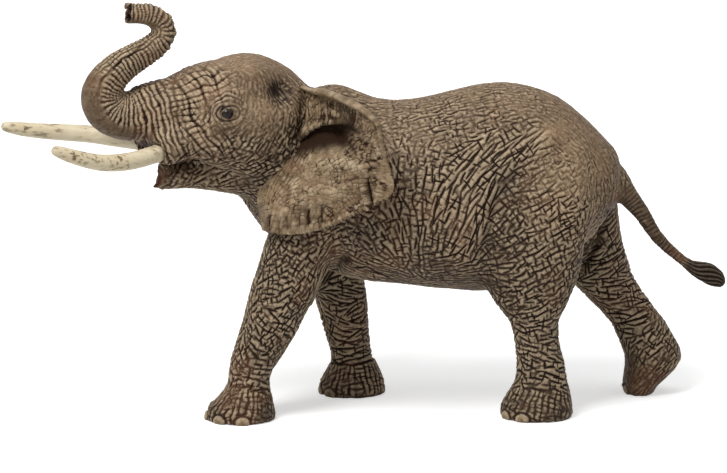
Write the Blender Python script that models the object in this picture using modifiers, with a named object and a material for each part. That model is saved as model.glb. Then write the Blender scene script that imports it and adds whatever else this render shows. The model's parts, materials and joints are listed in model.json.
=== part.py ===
# A walking African bull elephant, a hand-painted toy figure moulded in rigid vinyl.
#
# The figure faces -X. Body, neck, skull and legs are lofts that are fused into one skin,
# which is smoothed and then parted along the flat glue joints of the moulding, so the two
# sides of every joint have the same outline. Trunk, tusks, ears, eyes, jaw and tail are
# pieces of their own that plug into the head or the body.

import math

import bmesh
import bpy
import numpy as np
from mathutils import Matrix, Vector
from mathutils.bvhtree import BVHTree

FIGURE_NAME = "toy_elephant_figure"

# Driving dimensions in metres.
BODY_LENGTH = 0.0852         # neck pivot to rump
BODY_HEIGHT = 0.0947         # floor to the top of the croup
BODY_WIDTH = 0.0530          # across the belly
FORELEG_DEPTH = 0.0200       # upper foreleg, front to back
HINDLEG_DEPTH = 0.0300       # thigh, front to back
FORELEG_WIDTH = 0.0176       # upper foreleg, side to side
HINDLEG_WIDTH = 0.0200       # thigh, side to side
HEAD_LENGTH = 0.0590         # neck pivot to the root of the trunk
HEAD_HEIGHT = 0.0417         # throat to crown
HEAD_WIDTH = 0.0370          # across the cheeks
JAW_LENGTH = 0.0170          # lower jaw, in front of its joint
JAW_WIDTH = 0.0170
TRUNK_REACH = 0.0268         # root to the foremost bend
TRUNK_RISE = 0.0289          # root to the tip
TRUNK_ROOT_RADIUS = 0.0100
TRUNK_RING_DEPTH = 0.00045   # folds round the trunk
TRUNK_RING_PITCH = 0.0026
NOSTRIL_RADIUS = 0.0008
NOSTRIL_DEPTH = 0.0025
LEFT_TUSK_LENGTH = 0.0332    # beyond its sheath
RIGHT_TUSK_LENGTH = 0.0356
TUSK_RADIUS = 0.0026
TUSK_ROOT = 0.0070           # part of the tusk inside its sheath
EAR_LENGTH = 0.0400          # top to bottom
EAR_REACH = 0.0270           # out from the side of the head
EAR_SWEEP = 0.0300           # front edge to rear edge
EAR_THICKNESS = 0.0016
EAR_ROLL_RADIUS = 0.0021     # rolled upper edge
EYE_RADIUS = 0.0021
TAIL_LENGTH = 0.0321         # rump to the end of the tuft, along X
TAIL_DROP = 0.0303
TAIL_ROOT_RADIUS = 0.0046
WALL = 0.0040                # wall of the hollow body
NAIL_HEIGHT = 0.0034
NAIL_WIDTH = 0.0038
NAIL_THICKNESS = 0.0011

# Joints of the moulding.
JOINT_GAP = 0.0003
SPIGOT_RADIUS = 0.0030
SPIGOT_LENGTH = 0.0050
EAR_PEG_RADIUS = 0.0011
EAR_PEG_LENGTH = 0.0075
TAIL_PEG_RADIUS = 0.0020
JAW_SPIGOT_RADIUS = 0.0020
LOCATING_PIN_RADIUS = 0.0011
LOCATING_PIN_LENGTH = 0.0030
SLIVER = 0.000004            # faces thinner than this are closed up after a cut
OVERRUN = 0.0010             # how far a cutter runs past what it cuts, and a plug into its piece

# Fineness of the fused skin.
SKIN_CELL = 0.0015
SKIN_FULLNESS = 0.0004       # given back for what the softening takes away
SKIN_TRIANGLES = 3950

# Turn of the head towards the figure's left, and lean of the neck joint, in degrees.
HEAD_TURN_ANGLE = 21.0
NECK_JOINT_ANGLE = 35.0

# Where the neck pivot stands behind the origin of the design frame, as a share of the body.
neck_pivot_share = -0.141

# Body sections: along the body, top, bottom, half-width, height of the widest place.
torso_shares = [
    (-0.105, 0.860, 0.520, 0.40, 0.64),
    (-0.060, 0.940, 0.470, 0.60, 0.63),
    (0.000, 0.989, 0.435, 0.74, 0.62),
    (0.070, 0.989, 0.408, 0.84, 0.61),
    (0.173, 0.950, 0.393, 0.92, 0.60),
    (0.264, 0.942, 0.387, 0.965, 0.60),
    (0.364, 0.954, 0.376, 0.995, 0.60),
    (0.465, 0.978, 0.369, 1.00, 0.60),
    (0.549, 0.994, 0.363, 0.98, 0.61),
    (0.634, 0.997, 0.372, 0.94, 0.62),
    (0.701, 0.984, 0.394, 0.885, 0.64),
    (0.785, 0.958, 0.432, 0.79, 0.66),
    (0.870, 0.900, 0.492, 0.66, 0.68),
    (0.938, 0.840, 0.560, 0.50, 0.69),
    (0.985, 0.795, 0.620, 0.34, 0.70),
    (1.003, 0.765, 0.660, 0.18, 0.71),
]

# Leg sections from the hip or shoulder down: along the body, height, half-depth, half-width, side.
left_foreleg_shares = [
    (0.023, 0.718, 0.90, 0.86, 0.55),
    (-0.012, 0.634, 1.05, 1.00, 0.57),
    (-0.059, 0.560, 1.03, 1.04, 0.60),
    (-0.096, 0.456, 1.00, 1.00, 0.62),
    (-0.127, 0.395, 0.94, 0.94, 0.63),
    (-0.165, 0.296, 0.84, 0.86, 0.63),
    (-0.189, 0.247, 0.79, 0.82, 0.63),
    (-0.216, 0.194, 0.72, 0.76, 0.63),
    (-0.239, 0.148, 0.61, 0.70, 0.65),
    (-0.244, 0.111, 0.58, 0.70, 0.66),
    (-0.252, 0.079, 0.70, 0.80, 0.67),
    (-0.266, 0.042, 0.90, 0.98, 0.68),
    (-0.273, 0.012, 1.00, 1.06, 0.68),
    (-0.273, -0.020, 0.98, 1.04, 0.68),
]
right_foreleg_shares = [
    (0.035, 0.655, 0.95, 0.90, 0.55),
    (0.041, 0.549, 0.95, 1.00, 0.57),
    (0.045, 0.454, 0.86, 0.98, 0.59),
    (0.049, 0.370, 0.77, 0.92, 0.60),
    (0.059, 0.322, 0.77, 0.88, 0.60),
    (0.068, 0.275, 0.74, 0.84, 0.60),
    (0.076, 0.227, 0.69, 0.79, 0.60),
    (0.085, 0.180, 0.64, 0.74, 0.60),
    (0.097, 0.132, 0.59, 0.70, 0.60),
    (0.106, 0.094, 0.66, 0.76, 0.59),
    (0.104, 0.056, 0.86, 0.94, 0.58),
    (0.101, 0.018, 0.97, 1.06, 0.58),
    (0.102, -0.020, 0.96, 1.04, 0.58),
]
left_hindleg_shares = [
    (0.728, 0.824, 0.87, 0.80, 0.42),
    (0.710, 0.739, 1.13, 1.00, 0.48),
    (0.698, 0.644, 1.23, 1.10, 0.52),
    (0.689, 0.544, 1.09, 1.05, 0.56),
    (0.695, 0.483, 1.00, 0.98, 0.57),
    (0.701, 0.421, 0.88, 0.90, 0.57),
    (0.702, 0.359, 0.71, 0.80, 0.57),
    (0.712, 0.304, 0.48, 0.68, 0.57),
    (0.719, 0.261, 0.42, 0.62, 0.57),
    (0.727, 0.211, 0.427, 0.60, 0.57),
    (0.737, 0.158, 0.46, 0.62, 0.57),
    (0.739, 0.102, 0.507, 0.68, 0.57),
    (0.729, 0.062, 0.627, 0.82, 0.57),
    (0.724, 0.025, 0.687, 0.92, 0.57),
    (0.728, -0.020, 0.66, 0.90, 0.57),
]
right_hindleg_shares = [
    (0.763, 0.781, 0.87, 0.80, 0.42),
    (0.786, 0.697, 1.07, 1.00, 0.48),
    (0.822, 0.591, 1.07, 1.05, 0.54),
    (0.869, 0.502, 0.87, 0.98, 0.58),
    (0.933, 0.411, 0.67, 0.86, 0.60),
    (0.966, 0.354, 0.613, 0.78, 0.60),
    (1.008, 0.306, 0.59, 0.70, 0.60),
    (1.048, 0.265, 0.54, 0.66, 0.60),
    (1.085, 0.224, 0.533, 0.66, 0.60),
    (1.112, 0.180, 0.547, 0.70, 0.60),
    (1.136, 0.132, 0.56, 0.78, 0.60),
    (1.140, 0.097, 0.527, 0.84, 0.60),
    (1.115, 0.056, 0.433, 0.84, 0.60),
    (1.096, 0.021, 0.30, 0.76, 0.60),
    (1.089, -0.020, 0.24, 0.70, 0.60),
]

# Height of each leg's joint as a share of the body's height, its lean along the leg in degrees
# and its roll towards the middle, and how far the cut reaches towards the middle, of half the width.
leg_joints = {
    "left_foreleg": {"height_share": 0.475, "lean_angle": -22.0, "roll_angle": 0.0, "inner_share": 0.17,
                     "front_share": 1.35, "rear_share": 1.25},
    "right_foreleg": {"height_share": 0.372, "lean_angle": 0.0, "roll_angle": 0.0, "inner_share": 0.20,
                      "front_share": 1.55, "rear_share": 2.10},
    "left_hindleg": {"height_share": 0.388, "lean_angle": 3.0, "roll_angle": 4.0, "inner_share": 0.17,
                     "front_share": 1.2, "rear_share": 1.2},
    "right_hindleg": {"height_share": 0.415, "lean_angle": 34.0, "roll_angle": 0.0, "inner_share": 0.17,
                      "front_share": 1.7, "rear_share": 1.4},
}

# Throat of the head above the floor, of the body's height.
throat_share = 0.666

# Head sections: forward, top, bottom, half-width, height of the widest place.
skull_shares = [
    (-0.068, 0.690, -0.440, 0.90, 0.20),
    (0.034, 0.705, -0.430, 0.93, 0.22),
    (0.102, 0.765, -0.400, 0.93, 0.28),
    (0.169, 0.862, -0.370, 0.93, 0.36),
    (0.237, 0.922, -0.320, 0.93, 0.44),
    (0.305, 0.965, -0.230, 0.94, 0.50),
    (0.373, 0.982, -0.080, 0.94, 0.53),
    (0.441, 0.978, 0.042, 0.93, 0.54),
    (0.508, 0.948, 0.098, 0.90, 0.55),
    (0.593, 0.940, 0.190, 0.82, 0.57),
    (0.678, 0.908, 0.290, 0.72, 0.59),
    (0.763, 0.850, 0.340, 0.62, 0.60),
    (0.847, 0.800, 0.365, 0.545, 0.585),
    (0.915, 0.750, 0.385, 0.495, 0.575),
]

# Lumps fused with the skull on both sides: forward, side, height and the three half-sizes.
skull_lump_shares = [
    (0.400, 0.340, 0.770, 0.180, 0.50, 0.180),
    (0.560, 0.600, 0.480, 0.190, 0.34, 0.230),
    (0.440, 0.640, 0.460, 0.170, 0.34, 0.280),
]

# Sheaths of the tusks: forward, side, height and radius.
sheath_shares = [
    (0.640, 0.46, 0.520, 0.31),
    (0.780, 0.54, 0.440, 0.26),
    (0.905, 0.63, 0.380, 0.215),
]

# Lower jaw from inside the head to the lip: forward of the joint, top, bottom and half-width.
jaw_joint_share = 0.560
jaw_shares = [
    (-0.50, 0.270, 0.015, 1.15),
    (-0.20, 0.262, 0.042, 1.05),
    (0.10, 0.255, 0.066, 0.95),
    (0.40, 0.250, 0.088, 0.80),
    (0.70, 0.252, 0.090, 0.62),
    (0.90, 0.268, 0.085, 0.46),
    (0.99, 0.276, 0.100, 0.26),
]
mouth_roof_share = 0.300

# Dents and swellings brushed into the skin of the head, both sides alike:
# forward, side and height, reach of the stroke, and depth (positive swells).
brush_shares = [
    (0.300, 0.90, 0.780, 0.130, -0.050),
    (0.560, 0.90, 0.730, 0.090, 0.020),
    (0.430, 0.95, 0.520, 0.160, 0.025),
    (0.660, 0.75, 0.760, 0.100, -0.015),
    (0.520, 0.80, 0.230, 0.120, -0.030),
]

# The eye on the side of the head: forward and height, and how deep it sits, of its radius.
eye_forward_share = 0.580
eye_height_share = 0.645
eye_depth_share = 0.45

# Line of the trunk: forward, height and radius.
trunk_root_share = 0.675
trunk_root_height_share = 0.604
trunk_shares = [
    (0.00, 0.000, 1.03),
    (0.285, 0.007, 0.96),
    (0.48, -0.010, 0.90),
    (0.708, -0.025, 0.79),
    (0.895, 0.030, 0.73),
    (0.985, 0.140, 0.68),
    (0.990, 0.255, 0.65),
    (0.910, 0.384, 0.60),
    (0.760, 0.505, 0.54),
    (0.580, 0.594, 0.48),
    (0.406, 0.678, 0.44),
    (0.297, 0.780, 0.405),
    (0.305, 0.890, 0.375),
    (0.425, 0.962, 0.345),
    (0.56, 0.989, 0.325),
    (0.672, 1.000, 0.325),
]
trunk_joint_share = 0.225    # of the trunk's length
trunk_root_end_share = 0.32  # how far the trunk's root is fused with the skull
trunk_flat_share = 0.80      # how far the under side is drawn in
TRUNK_SEGMENTS = 14
TRUNK_STEPS = 12
TRUNK_FEWEST_RINGS = 4

# The finger over the nostrils: its height above the tip's middle and its three half-sizes,
# and the nostrils' places to the side and below, all of the tip's radius.
finger_height_share = 0.55
finger_size_shares = (0.75, 0.55, 0.42)
nostril_side_share = 0.42
nostril_drop_share = 0.15

# Curve of a tusk beyond its sheath: forward, outward and upward, of its length, and its radius.
left_tusk_shares = [
    (0.000, 0.000, 0.000, 1.00),
    (0.270, 0.110, -0.032, 1.00),
    (0.560, 0.200, -0.015, 0.93),
    (0.800, 0.245, 0.058, 0.82),
    (0.960, 0.262, 0.120, 0.64),
    (1.000, 0.265, 0.138, 0.34),
]
right_tusk_shares = [
    (0.000, 0.000, 0.000, 1.00),
    (0.140, 0.070, 0.020, 1.00),
    (0.300, 0.165, 0.044, 1.00),
    (0.530, 0.235, 0.062, 0.95),
    (0.770, 0.260, 0.089, 0.84),
    (0.950, 0.265, 0.124, 0.66),
    (1.000, 0.265, 0.136, 0.36),
]
tusk_root_forward_share = 0.905
tusk_root_side_share = 0.63
tusk_root_height_share = 0.385

# Edges of an ear in the head's frame: forward, side and height. The four edges meet in corners.
ear_forward_share = 0.136
ear_side_share = 0.78
ear_height_share = 0.745
ear_top_shares = [(0.00, 0.00, 0.00), (-0.05, 0.38, 0.014), (-0.11, 0.57, 0.005),
                  (-0.21, 0.81, -0.042), (-0.33, 0.99, -0.150)]
ear_rear_shares = [(-0.33, 0.99, -0.150), (-0.36, 1.01, -0.26), (-0.40, 1.01, -0.40),
                   (-0.47, 0.99, -0.60), (-0.33, 0.93, -0.71)]
ear_bottom_shares = [(0.52, 0.12, -0.965), (0.32, 0.32, -0.965), (0.08, 0.57, -0.90),
                     (-0.16, 0.83, -0.77), (-0.33, 0.93, -0.71)]
ear_front_shares = [(0.00, 0.00, 0.00), (0.05, 0.02, -0.18), (0.15, 0.02, -0.32),
                    (0.43, -0.03, -0.54), (0.55, 0.03, -0.73), (0.52, 0.12, -0.965)]
# Hollows and swellings of the ear: place across and down, reach, depth towards the head.
ear_dent_shares = [(0.30, 0.16, 0.20, 0.130), (0.62, 0.30, 0.24, 0.060), (0.55, 0.62, 0.26, -0.075),
                   (0.20, 0.60, 0.18, -0.030), (0.86, 0.86, 0.14, 0.050)]
ear_pleat_share = 0.022
ear_pleat_start_share = 0.55
EAR_PLEATS = 4
EAR_COLUMNS = 10
EAR_ROWS = 10
EAR_ROLL_ROWS = 3
EAR_EDGE_STEPS = 6
# The right ear is held closer to the neck: its sweep, reach and length, of the left one's.
right_ear_size_shares = (0.78, 0.90, 0.86)

# Line of the tail: along, down and radius, and the tuft's beginning.
tail_root_share = 0.986
tail_height_share = 0.692
tail_shares = [
    (-0.12, -0.14, 1.05),
    (0.00, -0.03, 1.00),
    (0.125, 0.130, 0.69),
    (0.264, 0.311, 0.52),
    (0.384, 0.514, 0.42),
    (0.520, 0.660, 0.36),
    (0.643, 0.768, 0.34),
    (0.74, 0.835, 0.50),
    (0.84, 0.872, 0.68),
    (0.94, 0.940, 0.60),
    (1.00, 1.000, 0.24),
]

# Toenails: bearings round the foot in degrees from straight ahead, and their height above the floor.
fore_nail_angles = [-60.0, -20.0, 20.0, 60.0]
hind_nail_angles = [-42.0, 0.0, 42.0]
nail_height_share = 0.030    # of the body's height

# Places of the locating pins along the body.
pin_shares = [0.20, 0.45, 0.70]

SECTION_POINTS = 28
CAVITY_POINTS = 12
LOFT_STEPS = 2
JAW_STEPS = 3
LEG_STEPS = 4                # for finding a leg's middle at a height
ROD_SEGMENTS = 16
PIN_SEGMENTS = 12
TUSK_SEGMENTS = 12
TAIL_SEGMENTS = 11
BALL_SEGMENTS = 14
BALL_RINGS = 8
NAIL_SEGMENTS = 10
NAIL_RINGS = 6
CUTTER_SHARE = 2.0           # how far a cutter runs past the body, of the body's own size
EYE_SIGHT_SHARE = 3.0        # how far outside the head the line to the eye starts
SOFTENING_SHARE = 0.5
SOFTENING_PASSES = 5
FOLD_REACH_SHARE = 0.6       # how much shallower the trunk's folds are on its under side
EAR_ROOT_COLUMNS = 2
EAR_ROOT_SHARE = 0.9         # how far the ear's root runs into the head, of its own columns
EAR_ROOT_LEAN_SHARE = 0.1
EAR_ROLL_TURN = math.radians(200)
EAR_ROLL_END_SHARE = 0.5
EAR_ROLL_START_SHARE = 0.15  # where the roll has its full size, from the front
EAR_ROLL_FADE_SHARE = 0.20   # over which it fades at the rear
EAR_ROLL_LAST_SHARE = 1.05
LEG_CUT_SHARE = 1.8
NECK_CUT_SHARE = 2.5
TRUNK_CUT_SHARE = 1.6
SHARP_ANGLE = math.radians(40)
cavity_start_share = 0.06
cavity_end_share = 0.86
neck_joint_forward_share = 0.17
neck_joint_height_share = 0.36
nail_seat_share = 0.94
jaw_spigot_height_share = 0.15
finishes = {
    "shell": ((0.39, 0.32, 0.25), 0.62),
    "foreleg": ((0.43, 0.36, 0.28), 0.62),
    "hindleg": ((0.43, 0.36, 0.28), 0.62),
    "head": ((0.47, 0.40, 0.33), 0.60),
    "lower_jaw": ((0.47, 0.40, 0.33), 0.60),
    "trunk": ((0.47, 0.40, 0.33), 0.60),
    "ear": ((0.55, 0.48, 0.40), 0.60),
    "tusk": ((0.83, 0.78, 0.68), 0.40),
    "eye": ((0.03, 0.02, 0.02), 0.08),
    "tail": ((0.30, 0.25, 0.20), 0.60),
}


def new_collection(name):
    collection = bpy.data.collections.new(name)
    bpy.context.scene.collection.children.link(collection)
    return collection


def smooth_rows(rows, steps):
    """Rows of a table run through by a smooth curve, with some steps between each two."""
    points = np.array(rows, dtype=float)
    padded = np.vstack([2 * points[0] - points[1], points, 2 * points[-1] - points[-2]])
    result = []
    for index in range(1, len(padded) - 2):
        before, start, end, after = padded[index - 1:index + 3]
        for step in range(steps):
            t = step / steps
            result.append(0.5 * (2 * start + (end - before) * t
                                 + (2 * before - 5 * start + 4 * end - after) * t ** 2
                                 + (3 * start - before - 3 * end + after) * t ** 3))
    result.append(points[-1])
    return np.array(result)


def section(centre, across, up, half_width, rise, drop, points=SECTION_POINTS):
    """An oval ring whose upper and lower halves have their own heights."""
    ring = []
    for index in range(points):
        angle = 2 * math.pi * index / points
        reach = rise if math.sin(angle) > 0 else drop
        ring.append(centre + across * (half_width * math.cos(angle)) + up * (reach * math.sin(angle)))
    return ring


def loft(name, rings):
    """A closed solid through rings that all have as many points."""
    shape = bmesh.new()
    rows = [[shape.verts.new(point) for point in ring] for ring in rings]
    for first, second in zip(rows, rows[1:]):
        for index in range(len(first)):
            after = (index + 1) % len(first)
            shape.faces.new((first[index], first[after], second[after], second[index]))
    shape.faces.new(rows[0])
    shape.faces.new(rows[-1])
    bmesh.ops.recalc_face_normals(shape, faces=shape.faces)
    return from_bmesh(name, shape)


def from_bmesh(name, shape):
    bmesh.ops.triangulate(shape, faces=[face for face in shape.faces if len(face.verts) > 4])
    mesh = bpy.data.meshes.new(name)
    shape.to_mesh(mesh)
    shape.free()
    item = bpy.data.objects.new(name, mesh)
    forms.objects.link(item)
    return item


def swept(name, line, radii, points):
    """A solid along a line of places, its rings square to the line and turned as little as can be."""
    line = [Vector(place) for place in line]
    ways = []
    for index in range(len(line)):
        ahead = line[min(index + 1, len(line) - 1)]
        behind = line[max(index - 1, 0)]
        ways.append((ahead - behind).normalized())
    across = Vector((0, 1, 0))
    rings = []
    for place, way, radius in zip(line, ways, radii):
        across = (across - way * across.dot(way)).normalized()
        up = across.cross(way).normalized()
        rings.append(section(place, across, up, radius, radius, radius, points))
    return loft(name, rings)


def ball(name, place, half_sizes, turn=None, segments=BALL_SEGMENTS, rings=BALL_RINGS):
    shape = bmesh.new()
    bmesh.ops.create_uvsphere(shape, u_segments=segments, v_segments=rings, radius=1)
    frame = Matrix.Translation(place) @ (turn or Matrix.Identity(4)) @ Matrix.Diagonal((*half_sizes, 1))
    bmesh.ops.transform(shape, matrix=frame, verts=shape.verts)
    return from_bmesh(name, shape)


def rod(name, start, way, length, radius, segments=ROD_SEGMENTS):
    """A round rod from a place along a direction."""
    shape = bmesh.new()
    way = Vector(way).normalized()
    bmesh.ops.create_cone(shape, cap_ends=True, segments=segments, radius1=radius, radius2=radius,
                          depth=length)
    turn = way.to_track_quat("Z", "Y").to_matrix().to_4x4()
    frame = Matrix.Translation(Vector(start) + way * (length / 2)) @ turn
    bmesh.ops.transform(shape, matrix=frame, verts=shape.verts)
    return from_bmesh(name, shape)


def block(name, corner, other_corner, turn=None):
    """A box between two corners, in the axes of a turn if one is given."""
    shape = bmesh.new()
    bmesh.ops.create_cube(shape, size=1)
    low, high = Vector(corner), Vector(other_corner)
    placed = Matrix.Translation((low + high) / 2) @ Matrix.Diagonal((*(high - low), 1))
    frame = (turn or Matrix.Identity(4)) @ placed
    bmesh.ops.transform(shape, matrix=frame, verts=shape.verts)
    return from_bmesh(name, shape)


def settle(item):
    """Applies the modifiers of an object to its mesh."""
    bpy.context.view_layer.update()
    graph = bpy.context.evaluated_depsgraph_get()
    mesh = bpy.data.meshes.new_from_object(item.evaluated_get(graph))
    item.modifiers.clear()
    item.data = mesh
    return item


def combine(item, tool, operation, keep=False):
    """A Boolean of two solids. The tool is removed unless it is kept for another cut."""
    modifier = item.modifiers.new(operation.lower(), "BOOLEAN")
    modifier.operation = operation
    modifier.solver = "EXACT"
    modifier.object = tool
    settle(item)
    close_slivers(item)
    if not keep:
        bpy.data.objects.remove(tool, do_unlink=True)
    return item


def close_slivers(item):
    """Merges the hair-thin faces that a cut can leave and fills the gaps between them."""
    shape = bmesh.new()
    shape.from_mesh(item.data)
    bmesh.ops.remove_doubles(shape, verts=shape.verts, dist=SLIVER)
    bmesh.ops.dissolve_degenerate(shape, edges=shape.edges, dist=SLIVER)
    bmesh.ops.triangulate(shape, faces=shape.faces)
    rim = [edge for edge in shape.edges if edge.is_boundary]
    bmesh.ops.holes_fill(shape, edges=rim, sides=0)
    bmesh.ops.triangulate(shape, faces=[face for face in shape.faces if len(face.verts) > 3])
    shape.to_mesh(item.data)
    shape.free()
    return item


def copy_of(item, name):
    twin = bpy.data.objects.new(name, item.data.copy())
    forms.objects.link(twin)
    return twin


def fuse(name, items):
    """One closed skin round overlapping forms, smoothed where they meet."""
    shape = bmesh.new()
    for item in items:
        shape.from_mesh(item.data)
        bpy.data.objects.remove(item, do_unlink=True)
    skin = from_bmesh(name, shape)
    remesh = skin.modifiers.new("skin", "REMESH")
    remesh.mode = "VOXEL"
    remesh.voxel_size = SKIN_CELL
    fill = skin.modifiers.new("fullness", "DISPLACE")
    fill.mid_level = 0
    fill.strength = SKIN_FULLNESS
    smooth = skin.modifiers.new("soften", "SMOOTH")
    smooth.factor = SOFTENING_SHARE
    smooth.iterations = SOFTENING_PASSES
    return settle(skin)


def largest_body(item):
    """Leaves only the largest loose piece of a mesh."""
    shape = bmesh.new()
    shape.from_mesh(item.data)
    unseen = set(shape.verts)
    groups = []
    while unseen:
        group = {unseen.pop()}
        front = list(group)
        while front:
            vert = front.pop()
            for edge in vert.link_edges:
                other = edge.other_vert(vert)
                if other in unseen:
                    unseen.discard(other)
                    group.add(other)
                    front.append(other)
        groups.append(group)
    largest = max(groups, key=len)
    bmesh.ops.delete(shape, geom=[vert for vert in shape.verts if vert not in largest], context="VERTS")
    shape.to_mesh(item.data)
    shape.free()
    return item


def thin_out(item, triangles):
    """Fewer triangles, kept where the skin bends most."""
    item.data.calc_loop_triangles()
    modifier = item.modifiers.new("thin_out", "DECIMATE")
    modifier.ratio = min(1, triangles / len(item.data.loop_triangles))
    return settle(item)


# Places on the body and the head.

def body_x(share):
    return (share + neck_pivot_share) * BODY_LENGTH


def body_z(share):
    return share * BODY_HEIGHT


head_turn = math.radians(HEAD_TURN_ANGLE)
head_ahead = Vector((-math.cos(head_turn), -math.sin(head_turn), 0))
head_right = Vector((-math.sin(head_turn), math.cos(head_turn), 0))
upward = Vector((0, 0, 1))
neck_pivot = Vector((neck_pivot_share * BODY_LENGTH, 0, 0))
THROAT_HEIGHT = throat_share * BODY_HEIGHT


def head_place(forward, side, height):
    """A place in the head: forward of the neck pivot, to its right and above the throat, as lengths."""
    return neck_pivot + head_ahead * forward + head_right * side + upward * (THROAT_HEIGHT + height)


def head_share_place(forward, side, height):
    return head_place(forward * HEAD_LENGTH, side * HEAD_WIDTH / 2, height * HEAD_HEIGHT)


def torso_rings():
    rings = []
    for along, top, bottom, width, middle in smooth_rows(torso_shares, LOFT_STEPS):
        centre = Vector((body_x(along), 0, body_z(middle)))
        rise = body_z(top - middle)
        drop = body_z(middle - bottom)
        rings.append(section(centre, Vector((0, 1, 0)), upward, width * BODY_WIDTH / 2, rise, drop))
    return rings


def cavity_form():
    """The hollow of the body, a wall's thickness inside its skin."""
    rings = []
    for along, top, bottom, width, middle in torso_shares:
        if cavity_start_share < along < cavity_end_share:
            centre = Vector((body_x(along), 0, body_z(middle)))
            rise = body_z(top - middle) - WALL
            drop = body_z(middle - bottom) - WALL
            half_width = width * BODY_WIDTH / 2 - WALL
            rings.append(section(centre, Vector((0, 1, 0)), upward, half_width, rise, drop, CAVITY_POINTS))
    return loft("cavity", rings)


legs = {
    "left_foreleg": (left_foreleg_shares, FORELEG_DEPTH, FORELEG_WIDTH, -1),
    "right_foreleg": (right_foreleg_shares, FORELEG_DEPTH, FORELEG_WIDTH, 1),
    "left_hindleg": (left_hindleg_shares, HINDLEG_DEPTH, HINDLEG_WIDTH, -1),
    "right_hindleg": (right_hindleg_shares, HINDLEG_DEPTH, HINDLEG_WIDTH, 1),
}


def leg_section(name, height_share):
    """Centre and half-sizes of a leg at a height."""
    shares, depth, width, side = legs[name]
    rows = smooth_rows(shares, LEG_STEPS)
    row = min(rows, key=lambda entry: abs(entry[1] - height_share))
    centre = Vector((body_x(row[0]), side * row[4] * BODY_WIDTH / 2, body_z(height_share)))
    return centre, row[2] * depth / 2, row[3] * width / 2


def leg_form(name):
    shares, depth, width, side = legs[name]
    rings = []
    for along, height, half_depth, half_width, outward in smooth_rows(shares, LOFT_STEPS):
        centre = Vector((body_x(along), side * outward * BODY_WIDTH / 2, body_z(height)))
        reach = half_width * width / 2
        long_reach = half_depth * depth / 2
        rings.append(section(centre, Vector((1, 0, 0)), Vector((0, 1, 0)), long_reach, reach, reach))
    return loft(name + "_form", rings)


def head_forms():
    """Skull, cheeks, sheaths of the tusks and the rear of the jaw."""
    rings = []
    for forward, top, bottom, width, middle in smooth_rows(skull_shares, LOFT_STEPS):
        centre = head_share_place(forward, 0, middle)
        rise = (top - middle) * HEAD_HEIGHT
        drop = (middle - bottom) * HEAD_HEIGHT
        rings.append(section(centre, head_right, upward, width * HEAD_WIDTH / 2, rise, drop))
    root = trunk_form("trunk_root_form", 0, trunk_root_end_share, False)
    items = [loft("skull_form", rings), root, jaw_form("jaw_rear_form")]
    turn = Matrix.Rotation(head_turn, 4, "Z")
    for side in (-1, 1):
        for forward, out, height, long, wide, high in skull_lump_shares:
            half_sizes = (long * HEAD_LENGTH, wide * HEAD_WIDTH / 2, high * HEAD_HEIGHT)
            items.append(ball("skull_lump", head_share_place(forward, side * out, height), half_sizes, turn))
        line = [head_share_place(forward, side * out, height) for forward, out, height, _ in sheath_shares]
        radii = [radius * HEAD_WIDTH / 2 for *_, radius in sheath_shares]
        items.append(swept("sheath_form", line, radii, SECTION_POINTS))
    return items


def jaw_form(name):
    rings = []
    for forward, top, bottom, width in smooth_rows(jaw_shares, JAW_STEPS):
        ahead = jaw_joint_share * HEAD_LENGTH + forward * JAW_LENGTH
        middle = (top + bottom) / 2
        rise = (top - bottom) / 2 * HEAD_HEIGHT
        centre = head_place(ahead, 0, middle * HEAD_HEIGHT)
        rings.append(section(centre, head_right, upward, width * JAW_WIDTH / 2, rise, rise))
    return loft(name, rings)


def trunk_line(steps=1):
    """Places, radii and distances along the trunk."""
    rows = smooth_rows(trunk_shares, steps)
    places = []
    for forward, height, _ in rows:
        ahead = trunk_root_share * HEAD_LENGTH + forward * TRUNK_REACH
        places.append(head_place(ahead, 0, trunk_root_height_share * HEAD_HEIGHT + height * TRUNK_RISE))
    radii = [radius * TRUNK_ROOT_RADIUS for *_, radius in rows]
    distances = [0.0]
    for first, second in zip(places, places[1:]):
        distances.append(distances[-1] + (second - first).length)
    return np.array(places), np.array(radii), np.array(distances)


def trunk_form(name, start_share, end_share, ringed):
    """The trunk between two shares of its length, its upper side folded into rings."""
    places, radii, distances = trunk_line(TRUNK_STEPS)
    length = distances[-1]
    count = 2 * max(TRUNK_FEWEST_RINGS, round((end_share - start_share) * length / TRUNK_RING_PITCH))
    stations = np.linspace(start_share * length, end_share * length, count + 1)
    line = [Vector([np.interp(station, distances, places[:, axis]) for axis in range(3)])
            for station in stations]
    rings = []
    across = head_right
    for index, place in enumerate(line):
        way = (line[min(index + 1, count)] - line[max(index - 1, 0)]).normalized()
        across = (across - way * across.dot(way)).normalized()
        up = across.cross(way).normalized()
        radius = float(np.interp(stations[index], distances, radii))
        fold = TRUNK_RING_DEPTH * (index % 2) if ringed and 0 < index < count else 0
        ring = []
        for point in range(TRUNK_SEGMENTS):
            angle = 2 * math.pi * point / TRUNK_SEGMENTS
            rise = math.sin(angle)
            reach = radius - fold * max(0, (1 + FOLD_REACH_SHARE * rise) / (1 + FOLD_REACH_SHARE))
            low = trunk_flat_share if rise < 0 else 1
            ring.append(place + across * (reach * math.cos(angle)) + up * (reach * rise * low))
        rings.append(ring)
    return loft(name, rings)


def along_curve(curve, share):
    lengths = np.concatenate([[0], np.cumsum(np.linalg.norm(np.diff(curve, axis=0), axis=1))])
    lengths /= lengths[-1]
    return np.array([np.interp(share, lengths, curve[:, axis]) for axis in range(3)])


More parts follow.
